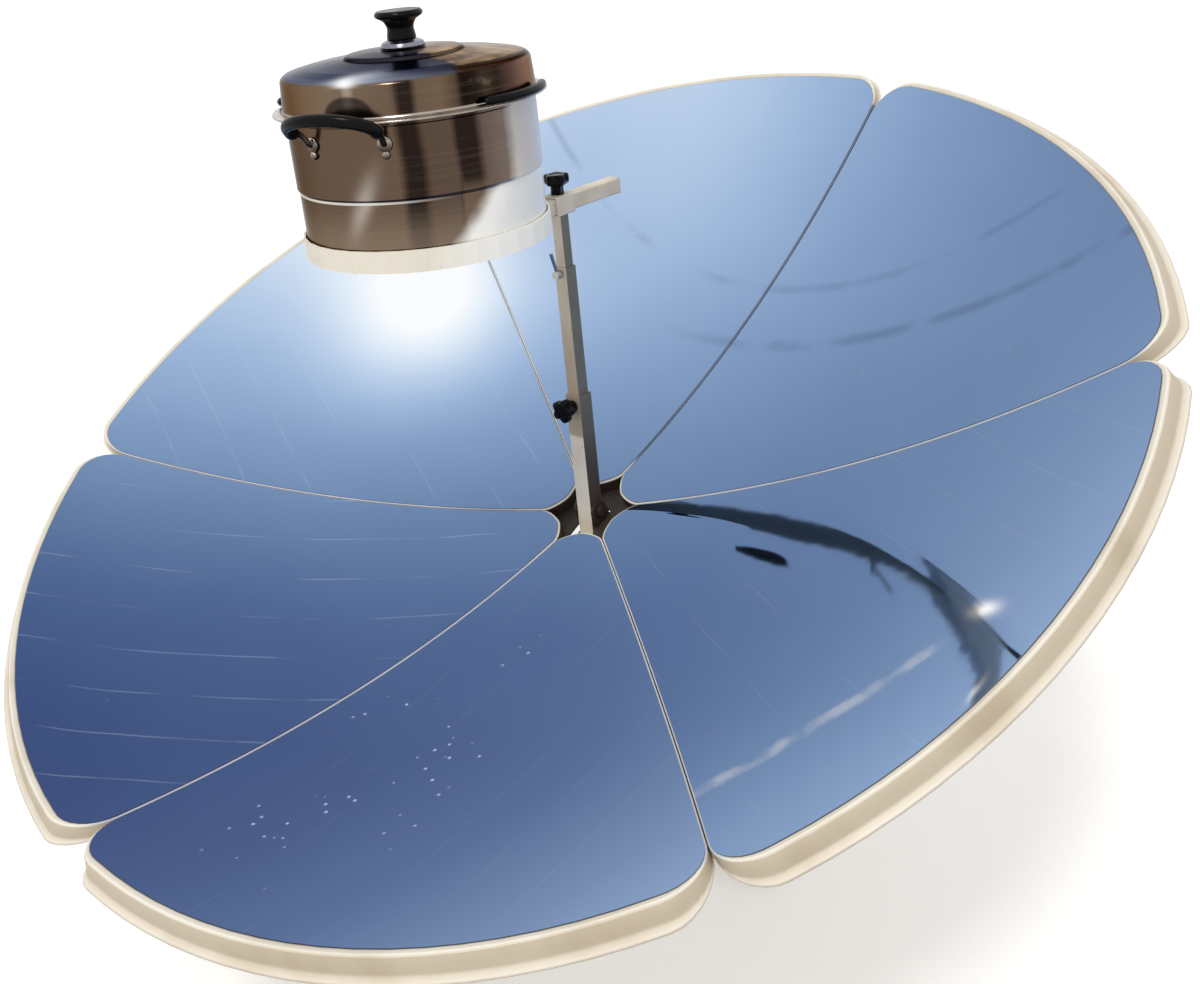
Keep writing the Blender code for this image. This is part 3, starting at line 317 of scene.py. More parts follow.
def mirror_film(index):
    """Blue-silver reflector film in the dish's frame: a painted reflection of the sky in blue tones, with
    a painted pool of sunlight near the pot, painted dark reflected bands, film strips, scratches and
    specks, and on the post's petal a painted light band and white glints.
    """
    paint = Paint("mirror_film_" + str(index + 1), 0.06, 1.0)
    position = paint.in_dish()
    x, y, _ = paint.axes(position)
    tone = 0.0
    for factor, across, along in FILM_REFLECTION_TERMS:
        tone = paint.add(tone, paint.times(factor, *([x] * across + [y] * along)))
    # A painted pool of sunlight near the pot and a dimmer patch, both part of the painted sky reflection.
    painted_glow = hill(paint, x, y, (0.24, 0.47), 0.17, 0.15)
    dull = hill(paint, x, y, (0.55, 0.42), 0.25, 0.17)
    haze = paint.ripple(position, 3.2, 0.05)
    tone = paint.add(tone, paint.times(painted_glow, 0.28), paint.times(dull, -0.114), haze)
    colour = paint.ramp(tone, FILM_SKY_REFLECTION_TONES)
    turn = FIRST_SEAM + (index + 0.5) * 2 * PI / PETALS
    own = paint.place(turn=(0, 0, -turn - STRIP_TURN), source=position)
    wander = paint.ripple(own, 5.0, 0.012, 2.0)
    run = paint.add(paint.axes(own)[1], wander, STRIP_SHIFT)
    strips = paint.math("PINGPONG", run, STRIP_WIDTH / 2)
    broken = paint.smooth(paint.noise(own, 9.0, 4.0), 0.40, 0.62)
    line = paint.times(paint.smooth(strips, 0.0018, 0.0002), broken, STRIP_MARKS[index])
    colour = paint.mix(line, colour, srgb(196, 214, 240))
    scratch_at = paint.place(turn=(0, 0, 0.5 + index), scale=(1.2, 60.0, 60.0), source=position)
    scratch = paint.smooth(paint.noise(scratch_at, 3.0, 2.0), 0.76, 0.80)
    colour = paint.over(colour, srgb(225, 236, 250), scratch, 0.08)
    speck = paint.node("ShaderNodeTexVoronoi", {"Vector": position, "Scale": 58.0})
    near = paint.smooth(speck.outputs["Distance"], 0.17, 0.08)
    crowd = paint.smooth(paint.noise(position, 9.0, 2.0), 0.46, 0.60)
    patch = hill(paint, x, y, (-0.48, -0.10), 0.23, 0.13)
    dots = paint.times(near, paint.smooth(paint.times(patch, paint.add(crowd, 0.35)), 0.28, 0.62))
    colour = paint.over(colour, srgb(206, 222, 246), dots, 0.6)
    patchy = paint.smooth(paint.noise(position, 11.0, 4.0), 0.36, 0.6)
    # Painted reflections: two faint dark curved bands across the film.
    first = long_mark(paint, x, y, 0.318, 0.45, -0.05, 0.015)
    second = long_mark(paint, x, y, 0.413, 0.75, -0.07, 0.012)
    first = paint.times(first, paint.smooth(y, 0.10, -0.12))
    reflected_bands = paint.add(first, paint.times(second, 0.6))
    colour = paint.over(colour, srgb(62, 78, 116), reflected_bands, patchy, 0.34)
    lean = None
    if index == POST_PETAL:
        lean = film_lean(paint, x, y)
        # Painted reflections on the petal that mirrors the post: a light band, and two white painted
        # glints.
        slant = paint.add(y, paint.times(x, 0.646), 0.723)
        wavy = paint.add(slant, paint.times(wander, 2.5), paint.ripple(position, 60.0, 0.014, 4.0, 0.7))
        pale_reflection = paint.smooth(paint.math("ABSOLUTE", wavy), 0.014, 0.003)
        pale_reflection = paint.times(pale_reflection, paint.smooth(x, -0.12, -0.16))
        cloud = paint.smooth(paint.noise(position, 26.0, 4.0), 0.30, 0.62)
        colour = paint.over(colour, srgb(206, 208, 212), pale_reflection, cloud, 0.42)
        glint = hill(paint, x, y, (-0.100, -0.655), 0.011, 0.015)
        tip = hill(paint, x, y, (-0.213, -0.705), 0.014, 0.004)
        colour = paint.mix(paint.math("MAXIMUM", glint, tip), colour, (1.0, 1.0, 1.0))
    paint.set("Base Color", colour)
    paint.set("Roughness", paint.add(0.05, paint.times(dots, 0.3), paint.times(line, 0.2)))
    paint.bump(paint.times(paint.noise(position, 14.0, 2.0), 0.00015), 1.0, normal=lean)
    return paint.material


def painted_steel(name, colour, worn, rough=0.45):
    """Paint on steel tube: cloudy, with rubbed and rust-spotted places."""
    paint = Paint(name, rough, Specular_IOR_Level=0.45)
    position = paint.place()
    cloud = paint.noise(position, 18.0, 5.0)
    spots = paint.smooth(paint.noise(position, 130.0, 4.0), 0.71, 0.76)
    streaks = paint.noise(paint.place(scale=(60, 60, 5)), 1.0, 3.0)
    shade = paint.mix(paint.smooth(cloud, 0.35, 0.75), colour, worn)
    shade = paint.over(shade, worn, paint.smooth(streaks, 0.55, 0.75), 0.3)
    paint.set("Base Color", paint.over(shade, srgb(112, 88, 66), spots, 0.7))
    paint.set("Roughness", paint.add(rough - 0.1, paint.times(cloud, 0.25)))
    paint.bump(paint.noise(position, 300.0, 2.0), 0.0002, 0.35)
    return paint


def post_paint():
    """The post's cream paint with painted shade: the pot's painted shadow on it above the dish, fading
    higher up, and the faces turned to -Y painted darker, darkest near the hub.
    """
    paint = painted_steel("post_paint", srgb(252, 241, 220), srgb(236, 222, 198))
    x, y, z = paint.axes(paint.place())
    # The pot's painted shadow: above a ragged, leaning edge the post is darkened.
    height = paint.add(z, paint.times(paint.noise(paint.place(), 30.0), 0.01), paint.times(x, 0.4))
    lit = paint.shader.inputs["Base Color"].links[0].from_socket
    pot_shadow = paint.mix(1.0, lit, srgb(196, 186, 176), "MULTIPLY")
    pot_shadow = paint.over(pot_shadow, lit, paint.smooth(z, 0.66, 0.90), 0.6)
    shade = paint.mix(paint.smooth(height, 0.628, 0.634), lit, pot_shadow)
    # Painted shade on the faces turned to -Y, darker near the hub.
    away = paint.smooth(paint.add(y, paint.math("ABSOLUTE", x)), 0.0004, -0.0004)
    side_shade = paint.mix(1.0, lit, srgb(124, 128, 126), "MULTIPLY")
    foot = paint.mix(1.0, lit, srgb(80, 68, 62), "MULTIPLY")
    side_shade = paint.mix(paint.smooth(z, 0.70, 0.56), side_shade, foot)
    paint.set("Base Color", paint.mix(away, shade, side_shade))
    return paint.material


# The photograph's directions in plan, to its right and away from its camera
TO_RIGHT = (0.637, -0.766)
AWAY = (0.742, 0.670)


def ring_paint():
    """The ring's cream paint, with a painted glare on the side that the dish's light strikes."""
    paint = painted_steel("ring_paint", srgb(240, 232, 216), srgb(230, 220, 200))
    x, y, _ = paint.axes(paint.place(shift=(-POT_X, 0, 0)))
    painted_glare = paint.smooth(paint.along(x, y, TO_RIGHT), 0.0, 0.09)
    lit = paint.shader.inputs["Base Color"].links[0].from_socket
    paint.set("Base Color", paint.mix(painted_glare, lit, srgb(255, 252, 244)))
    return paint.material


# Painted reflections: what the bright steel mirrors round the pot, by bearing as a share of the full
# turn; the pot's near-white stops are painted glare
REFLECTED_SOIL = (106, 87, 72)
PALE_REFLECTED_SOIL = (124, 104, 86)
SHADE = (44, 33, 28)
POT_REFLECTION_TONES = (
    (0.0, (150, 138, 126)),
    (0.20, (166, 150, 132)),
    (0.40, (112, 92, 72)),
    (0.46, REFLECTED_SOIL),
    (0.606, REFLECTED_SOIL),
    (0.615, SHADE),
    (0.634, SHADE),
    (0.643, (94, 76, 64)),
    (0.676, (94, 78, 68)),
    (0.684, SHADE),
    (0.708, SHADE),
    (0.718, (104, 88, 80)),
    (0.750, (126, 112, 104)),
    (0.768, (220, 211, 201)),
    (0.82, (224, 219, 214)),
    (0.86, (216, 218, 224)),
    (1.0, (150, 138, 126)),
)
LID_REFLECTION_TONES = (
    (0.0, (132, 116, 104)),
    (0.20, (150, 130, 110)),
    (0.38, (136, 110, 84)),
    (0.46, (114, 90, 68)),
    (0.53, PALE_REFLECTED_SOIL),
    (0.612, (106, 88, 73)),
    (0.619, SHADE),
    (0.633, SHADE),
    (0.641, REFLECTED_SOIL),
    (0.668, (112, 92, 73)),
    (0.689, (84, 68, 54)),
    (0.696, (28, 20, 17)),
    (0.714, (34, 25, 20)),
    (0.728, (60, 48, 38)),
    (0.748, SHADE),
    (0.775, (88, 66, 58)),
    (0.815, (142, 112, 96)),
    (0.90, (150, 136, 126)),
    (1.0, (132, 116, 104)),
)

# Painted reflections on the lid's dome: the sky it mirrors outwards from its middle, and the mottled
# earth
LID_SKY_REFLECTION_TONES = (
    (0.25, (44, 42, 54)),
    (0.42, (52, 56, 78)),
    (0.60, (56, 62, 92)),
    (0.71, (68, 76, 102)),
    (0.76, (100, 106, 124)),
)
LID_EARTH_REFLECTION_TONES = (
    (0.36, (104, 82, 62)),
    (0.5, (150, 124, 96)),
    (0.66, (188, 162, 128)),
)

# Heights of the step in the pot's wall, and of the lid's lip and edge
POT_STEP_Z = POT_FOOT + 0.073
LIP_Z = (1.1165, 1.1150)
LID_EDGE_Z = (1.1470, 1.1492)


def pot_side(paint, position, share, z):
    """The pot's wall as a painted reflection with painted sheen, highlight and glare, lighter towards its
    foot and darker underneath; also how far the glare makes the steel less metallic.
    """
    side = paint.ramp(share, POT_REFLECTION_TONES)
    below = paint.math("SUBTRACT", z, POT_STEP_Z)
    # Painted reflections below the step: lighter, with one dark band fading out.
    side = paint.over(side, srgb(176, 156, 136), paint.smooth(below, 0.0, -0.055), 0.35)
    fading_reflection = paint.band(share, 0.684, 0.72, 0.006)
    side = paint.over(side, srgb(*PALE_REFLECTED_SOIL), fading_reflection, paint.smooth(below, 0.016, -0.006), 0.75)
    # A painted sheen leaning across the step.
    leaning = paint.add(share, paint.times(below, -0.55))
    soft = hill(paint, leaning, below, (0.558, -0.006), 0.012, 0.030)
    side = paint.over(side, srgb(236, 226, 214), soft, 0.42)
    # A painted highlight just under the step.
    painted_shine = paint.band(below, -0.0045, -0.0025, 0.0008)
    side = paint.over(side, srgb(250, 246, 238), painted_shine, paint.smooth(share, 0.68, 0.56), 0.75)
    # Painted glare from the dish's light; the steel is made less metallic there and on the near-white
    # tones.
    slope = paint.add(paint.math("SUBTRACT", share, below), paint.ripple(position, 30.0, 0.03))
    glare = paint.times(paint.smooth(below, 0.002, -0.004), paint.smooth(slope, 0.710, 0.742))
    glare = paint.times(glare, paint.smooth(share, 0.93, 0.86))
    side = paint.mix(glare, side, srgb(255, 253, 246))
    glare_weight = paint.times(paint.smooth(share, 0.745, 0.768), paint.smooth(share, 0.93, 0.88))
    # Lighter towards the foot.
    foot = paint.smooth(z, POT_FOOT + 0.024, POT_FOOT + 0.008)
    side = paint.over(side, srgb(224, 210, 192), foot, 0.35)
    # Darker on the underside.
    darker_underside = paint.smooth(z, POT_FOOT + 0.001, POT_FOOT - 0.001)
    return paint.mix(darker_underside, side, srgb(92, 80, 70)), paint.math("MAXIMUM", glare_weight, glare)


def lid_top(paint, position, right, away, radius, jag):
    """The lid's dome as a painted reflection: blue sky on its left, jagged soil on its right, painted
    gleams at the front, and painted shade round the raised disc.
    """
    split = paint.add(right, paint.times(away, 0.75), jag)
    blue = paint.ramp(paint.add(paint.times(radius, 5.0), 0.1), LID_SKY_REFLECTION_TONES)
    # Painted reflection, darker to the right, with a light tan patch at the back left.
    blue = paint.over(blue, srgb(46, 40, 42), paint.smooth(right, -0.01, 0.06), 0.6)
    pale_reflection = paint.times(paint.smooth(away, 0.06, 0.11), paint.smooth(right, 0.01, -0.05))
    blue = paint.over(blue, srgb(196, 182, 160), pale_reflection, 0.4)
    # Painted gleams along the front edge.
    wide = hill(paint, right, away, (-0.064, -0.124), 0.062, 0.013)
    blue = paint.over(blue, srgb(172, 176, 190), wide, 0.8)
    small_gleam = hill(paint, right, away, (-0.032, -0.116), 0.024, 0.014)
    blue = paint.over(blue, srgb(196, 200, 208), small_gleam, 0.7)
    tan = paint.ramp(paint.noise(position, 26.0, 5.0, 0.6), LID_EARTH_REFLECTION_TONES)
    top = paint.mix(paint.smooth(split, -0.014, -0.004), blue, tan)
    # Painted shade round the raised disc's edge.
    top = paint.over(top, srgb(44, 38, 38), paint.band(radius, 0.0645, 0.0675, 0.001), 0.8)
    # A painted dark reflection along the right-hand edge.
    margin = paint.add(radius, paint.times(jag, 0.3), paint.times(away, -0.10))
    border = paint.smooth(margin, 0.126, 0.131)
    return paint.over(top, srgb(56, 40, 32), border, paint.smooth(split, -0.03, -0.01))


def lid_side(paint, position, share, place):
    """The lid's wall as a painted reflection with the handle's image in it, a painted light streak and
    light patches, a painted highlight along its lip and at the front of the dome, and its dome.
    """
    x, y, z = place
    side = paint.ramp(share, LID_REFLECTION_TONES)
    away = paint.along(x, y, AWAY)
    right = paint.along(x, y, TO_RIGHT)
    jag = paint.ripple(position, 38.0, 0.05, 5.0, 0.62)
    # A painted light streak.
    side = paint.over(side, srgb(190, 176, 164), paint.band(share, 0.556, 0.558, 0.010), 0.5)
    mirrored = paint.smooth(hill(paint, share, z, (0.555, 1.118), 0.033, 0.0185), 0.30, 0.44)
    side = paint.over(side, srgb(34, 28, 26), mirrored, 0.8)
    # Painted light patches in a dark reflected band.
    patch = paint.times(paint.smooth(jag, 0.002, 0.008), paint.band(share, 0.71, 0.74, 0.01))
    side = paint.over(side, srgb(110, 96, 76), patch, paint.smooth(z, 1.143, 1.137), 0.6)
    top = lid_top(paint, position, right, away, paint.radius(x, y), jag)
    # A painted highlight along the lip.
    side = paint.over(side, srgb(206, 196, 188), paint.smooth(z, *LIP_Z), 0.6)
    side = paint.mix(paint.smooth(z, *LID_EDGE_Z), side, top)
    # A painted highlight at the front of the dome.
    painted_shine = hill(paint, right, away, (-0.047, -0.124), 0.012, 0.014)
    return paint.over(side, srgb(255, 255, 255), painted_shine, paint.smooth(z, 1.143, 1.148), 0.95)


def bright_steel(name, kind):
    """Polished steel about the pot's axis, its colour a painted reflection of ground, sky and dish."""
    paint = Paint(name, 0.16, 1.0)
    position = paint.place(shift=(-POT_X, 0, 0))
    x, y, z = paint.axes(position)
    bearing = paint.math("ARCTAN2", paint.times(y, -1.0), paint.times(x, -1.0))
    share = paint.add(paint.times(bearing, 1 / (2 * PI)), 0.5, paint.ripple(position, 14.0, 0.012))
    glare_weight = 0.0
    if kind == "pot":
        side, glare_weight = pot_side(paint, position, share, z)
    else:
        side = lid_side(paint, position, share, (x, y, z))
    rings = paint.noise(paint.place(shift=(-POT_X, 0, 0), scale=(4, 4, 420)), 1.0, 2.0)
    side = paint.over(side, srgb(255, 250, 242), paint.smooth(rings, 0.5, 0.8), 0.02)
    paint.set("Base Color", side)
    paint.set("Specular Tint", paint.mix(0.6, (1.0, 1.0, 1.0), side))
    # Less metallic where the glare is painted.
    paint.set("Metallic", paint.math("SUBTRACT", 1.0, paint.times(glare_weight, 0.9)))
    smear = paint.noise(position, 22.0, 4.0)
    paint.set("Roughness", paint.add(0.10, paint.times(smear, 0.14)))
    paint.bump(rings, 0.00003, 0.3)
    return paint.material


def plain_chrome(name, colour, under=None):
    """Plated steel with a little tarnish; given a second colour, faces turned down take it as a painted
    reflection of the ground.
    """
    paint = Paint(name, 0.16, 1.0)
    position = paint.place()
    if under:
        up = paint.axes(paint.node("ShaderNodeNewGeometry").outputs["Normal"])[2]
        colour = paint.mix(paint.smooth(up, -0.3, 0.8), under, colour)
    cloud = paint.noise(position, 60.0, 4.0)
    paint.set("Base Color", paint.over(colour, (0.0, 0.0, 0.0), paint.smooth(cloud, 0.4, 0.75), 0.38))
    paint.set("Roughness", paint.add(0.12, paint.times(cloud, 0.2)))
    paint.bump(paint.noise(position, 500.0, 2.0), 0.0001, 0.3)
    return paint.material


def moulded_black(name, rough):
    """Black phenolic plastic with a faint orange-peel skin and dust."""
    paint = Paint(name, rough, Specular_IOR_Level=0.11)
    position = paint.place()
    dust = paint.noise(position, 70.0, 5.0)
    paint.set("Base Color", paint.mix(paint.smooth(dust, 0.55, 0.8), srgb(12, 11, 11), srgb(32, 28, 26)))
    paint.set("Roughness", paint.add(rough - 0.08, paint.times(dust, 0.25)))
    paint.bump(paint.noise(position, 350.0, 2.0), 0.0002, 0.4)
    return paint.material


CREAM = moulded_cream()
POST_PAINT = post_paint()
TUBE_PAINT = painted_steel("tube_paint", srgb(230, 222, 205), srgb(206, 196, 178)).material
ARM_PAINT = painted_steel("arm_paint", srgb(222, 212, 194), srgb(196, 184, 164)).material
RING_PAINT = ring_paint()
# The hub's pieces: dark paint, which also stands in for the shade within the hub.
DARK_PAINT_AND_SHADE = painted_steel("dark_paint", srgb(56, 44, 36), srgb(34, 27, 23), 0.6).material
ZINC = plain_chrome("zinc", srgb(186, 186, 182))
POT_STEEL = bright_steel("pot_steel", "pot")
LID_STEEL = bright_steel("lid_steel", "lid")
# Each second colour is a painted reflection of the ground on faces turned down; the brackets' light first
# colour is a painted highlight on faces turned up.
RIM_STEEL = plain_chrome("rim_steel", srgb(190, 180, 170), srgb(120, 108, 98))
BASE_STEEL = plain_chrome("base_steel", srgb(146, 144, 158), srgb(90, 88, 100))
BRACKET_STEEL = plain_chrome("bracket_steel", srgb(226, 220, 212), srgb(80, 67, 57))
BLACK = moulded_black("black_plastic", 0.2)
RUBBER = moulded_black("rubber", 0.7)
NYLON = painted_steel("nylon", srgb(226, 224, 214), srgb(206, 202, 190), 0.5).material


def linked(name, data):
    """A new object in the scene."""
    made = bpy.data.objects.new(name, data)
    bpy.context.scene.collection.objects.link(made)
    return made


def mesh_of(name, shape, material):
    data = bpy.data.meshes.new(name)
    shape.to_mesh(data)
    shape.free()
    data.materials.append(material)
    return data


def make_piece(name, shape, material, body, replaced=(), place=None, sharp=42):
    """Finishes a mesh as a piece of the object that rides on a body and stands for CAD nodes."""
    bmesh.ops.recalc_face_normals(shape, faces=shape.faces)
    data = mesh_of(name, shape, material)
    data.shade_smooth()
    data.set_sharp_from_angle(angle=math.radians(sharp))
    piece = linked(name, data)
    if place is not None:
        piece.matrix_world = place
    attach(piece, body)
    if replaced:
        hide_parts(*replaced)
    return piece


# Petals and their film, shaped in the dish's own frame and then set where it rests
DISH_PLACE = Matrix.Translation((0, 0, HUB_HEIGHT)) @ Matrix.Rotation(-REST_TILT, 4, "Y")
PETAL_ROWS = 26
CORNER_COLUMNS = 8
INNER_COLUMNS = 9


def side_angle(radius, inset):
    return PI / PETALS - math.asin((SEAM_GAP / 2 + inset * FILM_SIDE) / radius)


def petal_columns():
    half_width = DISH_RADIUS * PI / PETALS
    corner = [
        CORNER_RADIUS * (1 - math.cos(QUARTER * i / CORNER_COLUMNS)) / half_width
        for i in range(CORNER_COLUMNS + 1)
    ]
    last = corner[-1]
    half = corner + [last + (1 - last) * (i + 1) / INNER_COLUMNS for i in range(INNER_COLUMNS)]
    return [(-1, q) for q in half] + [(1, q) for q in reversed(half[:-1])]


def outer_radius(fraction, inset):
    radius = DISH_RADIUS - inset * FILM_RIM
    corner = CORNER_RADIUS - inset * FILM_RIM
    away = corner - min(corner, fraction * side_angle(radius, inset) * radius)
    return radius - corner + math.sqrt(corner**2 - away**2)


def nose_radius(fraction, inset):
    radius = NOSE_RADIUS + inset * FILM_NOSE
    away = NOSE_FILLET - min(NOSE_FILLET, fraction * side_angle(radius, inset) * radius)
    return radius + NOSE_FILLET - math.sqrt(NOSE_FILLET**2 - away**2)


def petal_place(column, share, inset):
    """A point of a petal in plan about its own +X."""
    side, fraction = column
    inner = nose_radius(fraction, inset)
    radius = inner + (outer_radius(fraction, inset) - inner) * share
    angle = -side * side_angle(radius, inset) * (1 - fraction)
    return Vector((radius * math.cos(angle), radius * math.sin(angle)))


def on_bowl(plan, lift):
    """A plan point on the paraboloid, lifted along the surface's normal."""
    height = plan.length_squared / 4 / FOCAL_LENGTH
    normal = Vector((-plan.x, -plan.y, 2 * FOCAL_LENGTH)).normalized()
    return Vector((plan.x, plan.y, height)) + normal * lift


COLUMNS = petal_columns()
LAST_COLUMN = len(COLUMNS) - 1
BORDER = (
    [(c, 0) for c in range(LAST_COLUMN)]
    + [(LAST_COLUMN, r) for r in range(PETAL_ROWS)]
    + [(c, PETAL_ROWS) for c in range(LAST_COLUMN, 0, -1)]
    + [(0, r) for r in range(PETAL_ROWS, 0, -1)]
)
OUTLINE = [petal_place(COLUMNS[c], r / PETAL_ROWS, 0) for c, r in BORDER]


def outline_normals():
    """The outline's outward directions in plan, and how far each point lies along the rim's arc."""
    count = len(OUTLINE)
    found = []
    for i, point in enumerate(OUTLINE):
        run = OUTLINE[(i + 1) % count] - OUTLINE[i - 1]
        normal = Vector((run.y, -run.x)).normalized()
        rim = max(0.0, min(1.0, (point.length - DISH_RADIUS + CORNER_RADIUS) / CORNER_RADIUS)) ** 2
        found.append((normal, rim))
    return found


NORMALS = outline_normals()


def film_grid(shape, lift):
    """Rows of vertices of the film's area, lifted off the bowl."""
    return [
        [shape.verts.new(on_bowl(petal_place(column, row / PETAL_ROWS, 1), lift)) for column in COLUMNS]
        for row in range(PETAL_ROWS + 1)
    ]


def fill_grid(shape, grid):
    for low, high in zip(grid, grid[1:]):
        for i in range(len(low) - 1):
            shape.faces.new((low[i], low[i + 1], high[i + 1], high[i]))


def border_of(grid):
    return [grid[r][c] for c, r in BORDER]


def join_loops(shape, first, second):
    count = len(first)
    for i in range(count):
        j = (i + 1) % count
        shape.faces.new((first[i], first[j], second[j], second[i]))


def join_rings(shape, rings):
    """Walls through the rings in turn, and a cap at each end."""
    for first, second in zip(rings, rings[1:]):
        join_loops(shape, first, second)
    shape.faces.new(list(reversed(rings[0])))
    shape.faces.new(rings[-1])


def edge_ring(shape, inward, radial, drop_at):
    """A ring round the petal: moved in from its outline, out along the rim, and dropped."""
    ring = []
    for point, (normal, rim) in zip(OUTLINE, NORMALS):
        plan = point - normal * inward(rim)
        height = plan.length_squared / 4 / FOCAL_LENGTH
        plan = plan + point.normalized() * radial * rim
        ring.append(shape.verts.new((plan.x, plan.y, height - drop_at(point.length, rim))))
    return ring


def flange_depth(radius):
    share = (radius - NOSE_RADIUS) / (DISH_RADIUS - NOSE_RADIUS)
    return NOSE_FLANGE + (RIM_FLANGE - NOSE_FLANGE) * max(0, min(1, share))


def fold_radius(rim):
    return 0.0012 + 0.0016 * rim


FOLD_STEPS = 4
# Rows of the flange and lip: shares of the flange's depth, lip's reach and drop; place in the ramp
FLANGE_ROWS = (
    (0.15, 0.0, 0.0, 0.34),
    (0.5, 0.0, 0.0, 0.45),
    (0.85, 0.0, 0.0, 0.54),
    (0.96, 0.02, 0.0, 0.57),
    (1.0, 0.12, 0.12, 0.62),
    (1.0, 0.5, 0.5, 0.70),
    (1.0, 0.88, 0.88, 0.78),
    (1.0, 1.03, 1.12, 0.84),
)
# Rows under the lip: moved in, below the flange's depth, out along the rim, place in the ramp
UNDER_ROWS = (
    (0.0, 0.0012, RIM_FLARE + LIP_REACH * 1.05, 0.88),
    (0.0006, 0.0027, RIM_FLARE + LIP_REACH, 0.92),
)


def build_petal(index):
    turn = DISH_PLACE @ Matrix.Rotation(FIRST_SEAM + (index + 0.5) * 2 * PI / PETALS, 4, "Z")
    shape = bmesh.new()
    edge = shape.verts.layers.float.new("edge")
    top = film_grid(shape, 0.0)
    fill_grid(shape, top)
    rings = [(border_of(top), 0.0)]

    def add_ring(tone, inward, radial, drop_at):
        rings.append((edge_ring(shape, inward, radial, drop_at), tone))

    for i in range(FOLD_STEPS + 1):
        angle = QUARTER * i / FOLD_STEPS
        add_ring(
            0.06 + 0.18 * i / FOLD_STEPS,
            lambda rim: fold_radius(rim) * (1 - math.sin(angle)),
            0.0,
            lambda radius, rim: fold_radius(rim) * (1 - math.cos(angle)),
        )
    for down, out, fall, tone in FLANGE_ROWS:
        add_ring(
            tone,
            lambda rim: 0.0,
            RIM_FLARE * down + LIP_REACH * out,
            lambda radius, rim: (flange_depth(radius) - LIP_DROP) * down + LIP_DROP * fall,
        )
    for inward, below, out, tone in UNDER_ROWS:
        add_ring(
            tone,
            lambda rim: inward + PETAL_WALL * 0.6 * (1 - rim) * (below > 0.002),
            out,
            lambda radius, rim: flange_depth(radius) + below,
        )
    add_ring(
        1.0,
        lambda rim: PETAL_WALL,
        RIM_FLARE,
        lambda radius, rim: flange_depth(radius) + (0.0002 if rim > 0 else 0.0024),
    )
    add_ring(1.0, lambda rim: PETAL_WALL, 0.0, lambda radius, rim: PETAL_WALL * 1.3)
    below = film_grid(shape, -PETAL_WALL)
    fill_grid(shape, below)
    rings.append((border_of(below), 1.0))
    for (first, _), (second, _) in zip(rings, rings[1:]):
        join_loops(shape, first, second)
    for row in below:
        for vert in row:
            vert[edge] = 1.0
    for ring, tone in rings:
        for vert in ring:
            vert[edge] = tone
    bmesh.ops.transform(shape, matrix=turn, verts=shape.verts)
    serial = str(index + 1)
    make_piece("petal_skin_" + serial, shape, CREAM, "dish", ["petal_" + serial], None, 60)
    film = bmesh.new()
    face = film_grid(film, GAP + FILM_THICKNESS)
    back = film_grid(film, GAP)
    fill_grid(film, face)
    fill_grid(film, back)
    join_loops(film, border_of(face), border_of(back))
    bmesh.ops.transform(film, matrix=turn, verts=film.verts)
    skin = "mirror_skin_" + serial
    make_piece(skin, film, mirror_film(index), "dish", ["mirror_" + serial], None, 60)


def rounded(corners, steps=4, closed=False):
    """Points along a polyline of (x, y, corner radius) with its corners rounded."""
    count = len(corners)
    found = []
    for i, (x, y, radius) in enumerate(corners):
        here = Vector((x, y))
        if radius == 0 or (not closed and i in (0, count - 1)):
            found.append((x, y))
            continue
        back = Vector(corners[i - 1][:2]) - here
        ahead = Vector(corners[(i + 1) % count][:2]) - here
        half = back.angle(ahead) / 2
        cut = min(radius / math.tan(half), back.length * 0.49, ahead.length * 0.49)
        start = here + back.normalized() * cut
        end = here + ahead.normalized() * cut
        middle = here + (back.normalized() + ahead.normalized()).normalized() * (cut / math.cos(half))
        first = start - middle
        sweep = first.angle_signed(end - middle)
        for k in range(steps + 1):
            point = middle + Matrix.Rotation(-sweep * k / steps, 2) @ first
            found.append((point.x, point.y))
    return found


def lathe(profile, centre, steps, closed=True):
    """A turned mesh about a vertical axis at the centre, through (radius, height) points."""
    shape = bmesh.new()
    count = len(profile)
    columns = []
    for i in range(steps):
        columns.append([])
        across, along = math.cos(2 * PI * i / steps), math.sin(2 * PI * i / steps)
        for radius, height in profile:
            place = (centre[0] + radius * across, centre[1] + radius * along, centre[2] + height)
            columns[i].append(shape.verts.new(place))
    for i in range(steps):
        first = columns[i]
        second = columns[(i + 1) % steps]
        for k in range(count if closed else count - 1):
            j = (k + 1) % count
            if profile[k][0] > 0 or profile[j][0] > 0:
                shape.faces.new((first[k], second[k], second[j], first[j]))
    bmesh.ops.remove_doubles(shape, verts=shape.verts, dist=0.000001)
    return shape


def turned(corners, centre, steps):
    """A turned mesh that starts and ends on its axis, with rounded corners."""
    return lathe(rounded(corners), centre, steps, closed=False)


def aimed(point, axis):
    """The matrix that stands a mesh's own +Z along an axis at a point."""
    return Matrix.Translation(point) @ Vector(axis).to_track_quat("Z", "Y").to_matrix().to_4x4()


def sweep(path, radius_at, steps=16):
    """A tube along a path of points, its two half widths at each point given by radius_at."""
    shape = bmesh.new()
    count = len(path)
    rings = []
    up = Vector((0, 0, 1))
    for i, point in enumerate(path):
        run = (path[min(i + 1, count - 1)] - path[max(i - 1, 0)]).normalized()
        side = run.cross(up)
        side = side.normalized() if side.length > 0.001 else Vector((1, 0, 0))
        over = side.cross(run)
        wide, high = radius_at(i / (count - 1))
        rings.append(
            [
                shape.verts.new(
                    point
                    + side * wide * math.cos(2 * PI * k / steps)
                    + over * high * math.sin(2 * PI * k / steps)
                )
                for k in range(steps)
            ]
        )
    join_rings(shape, rings)
    return shape


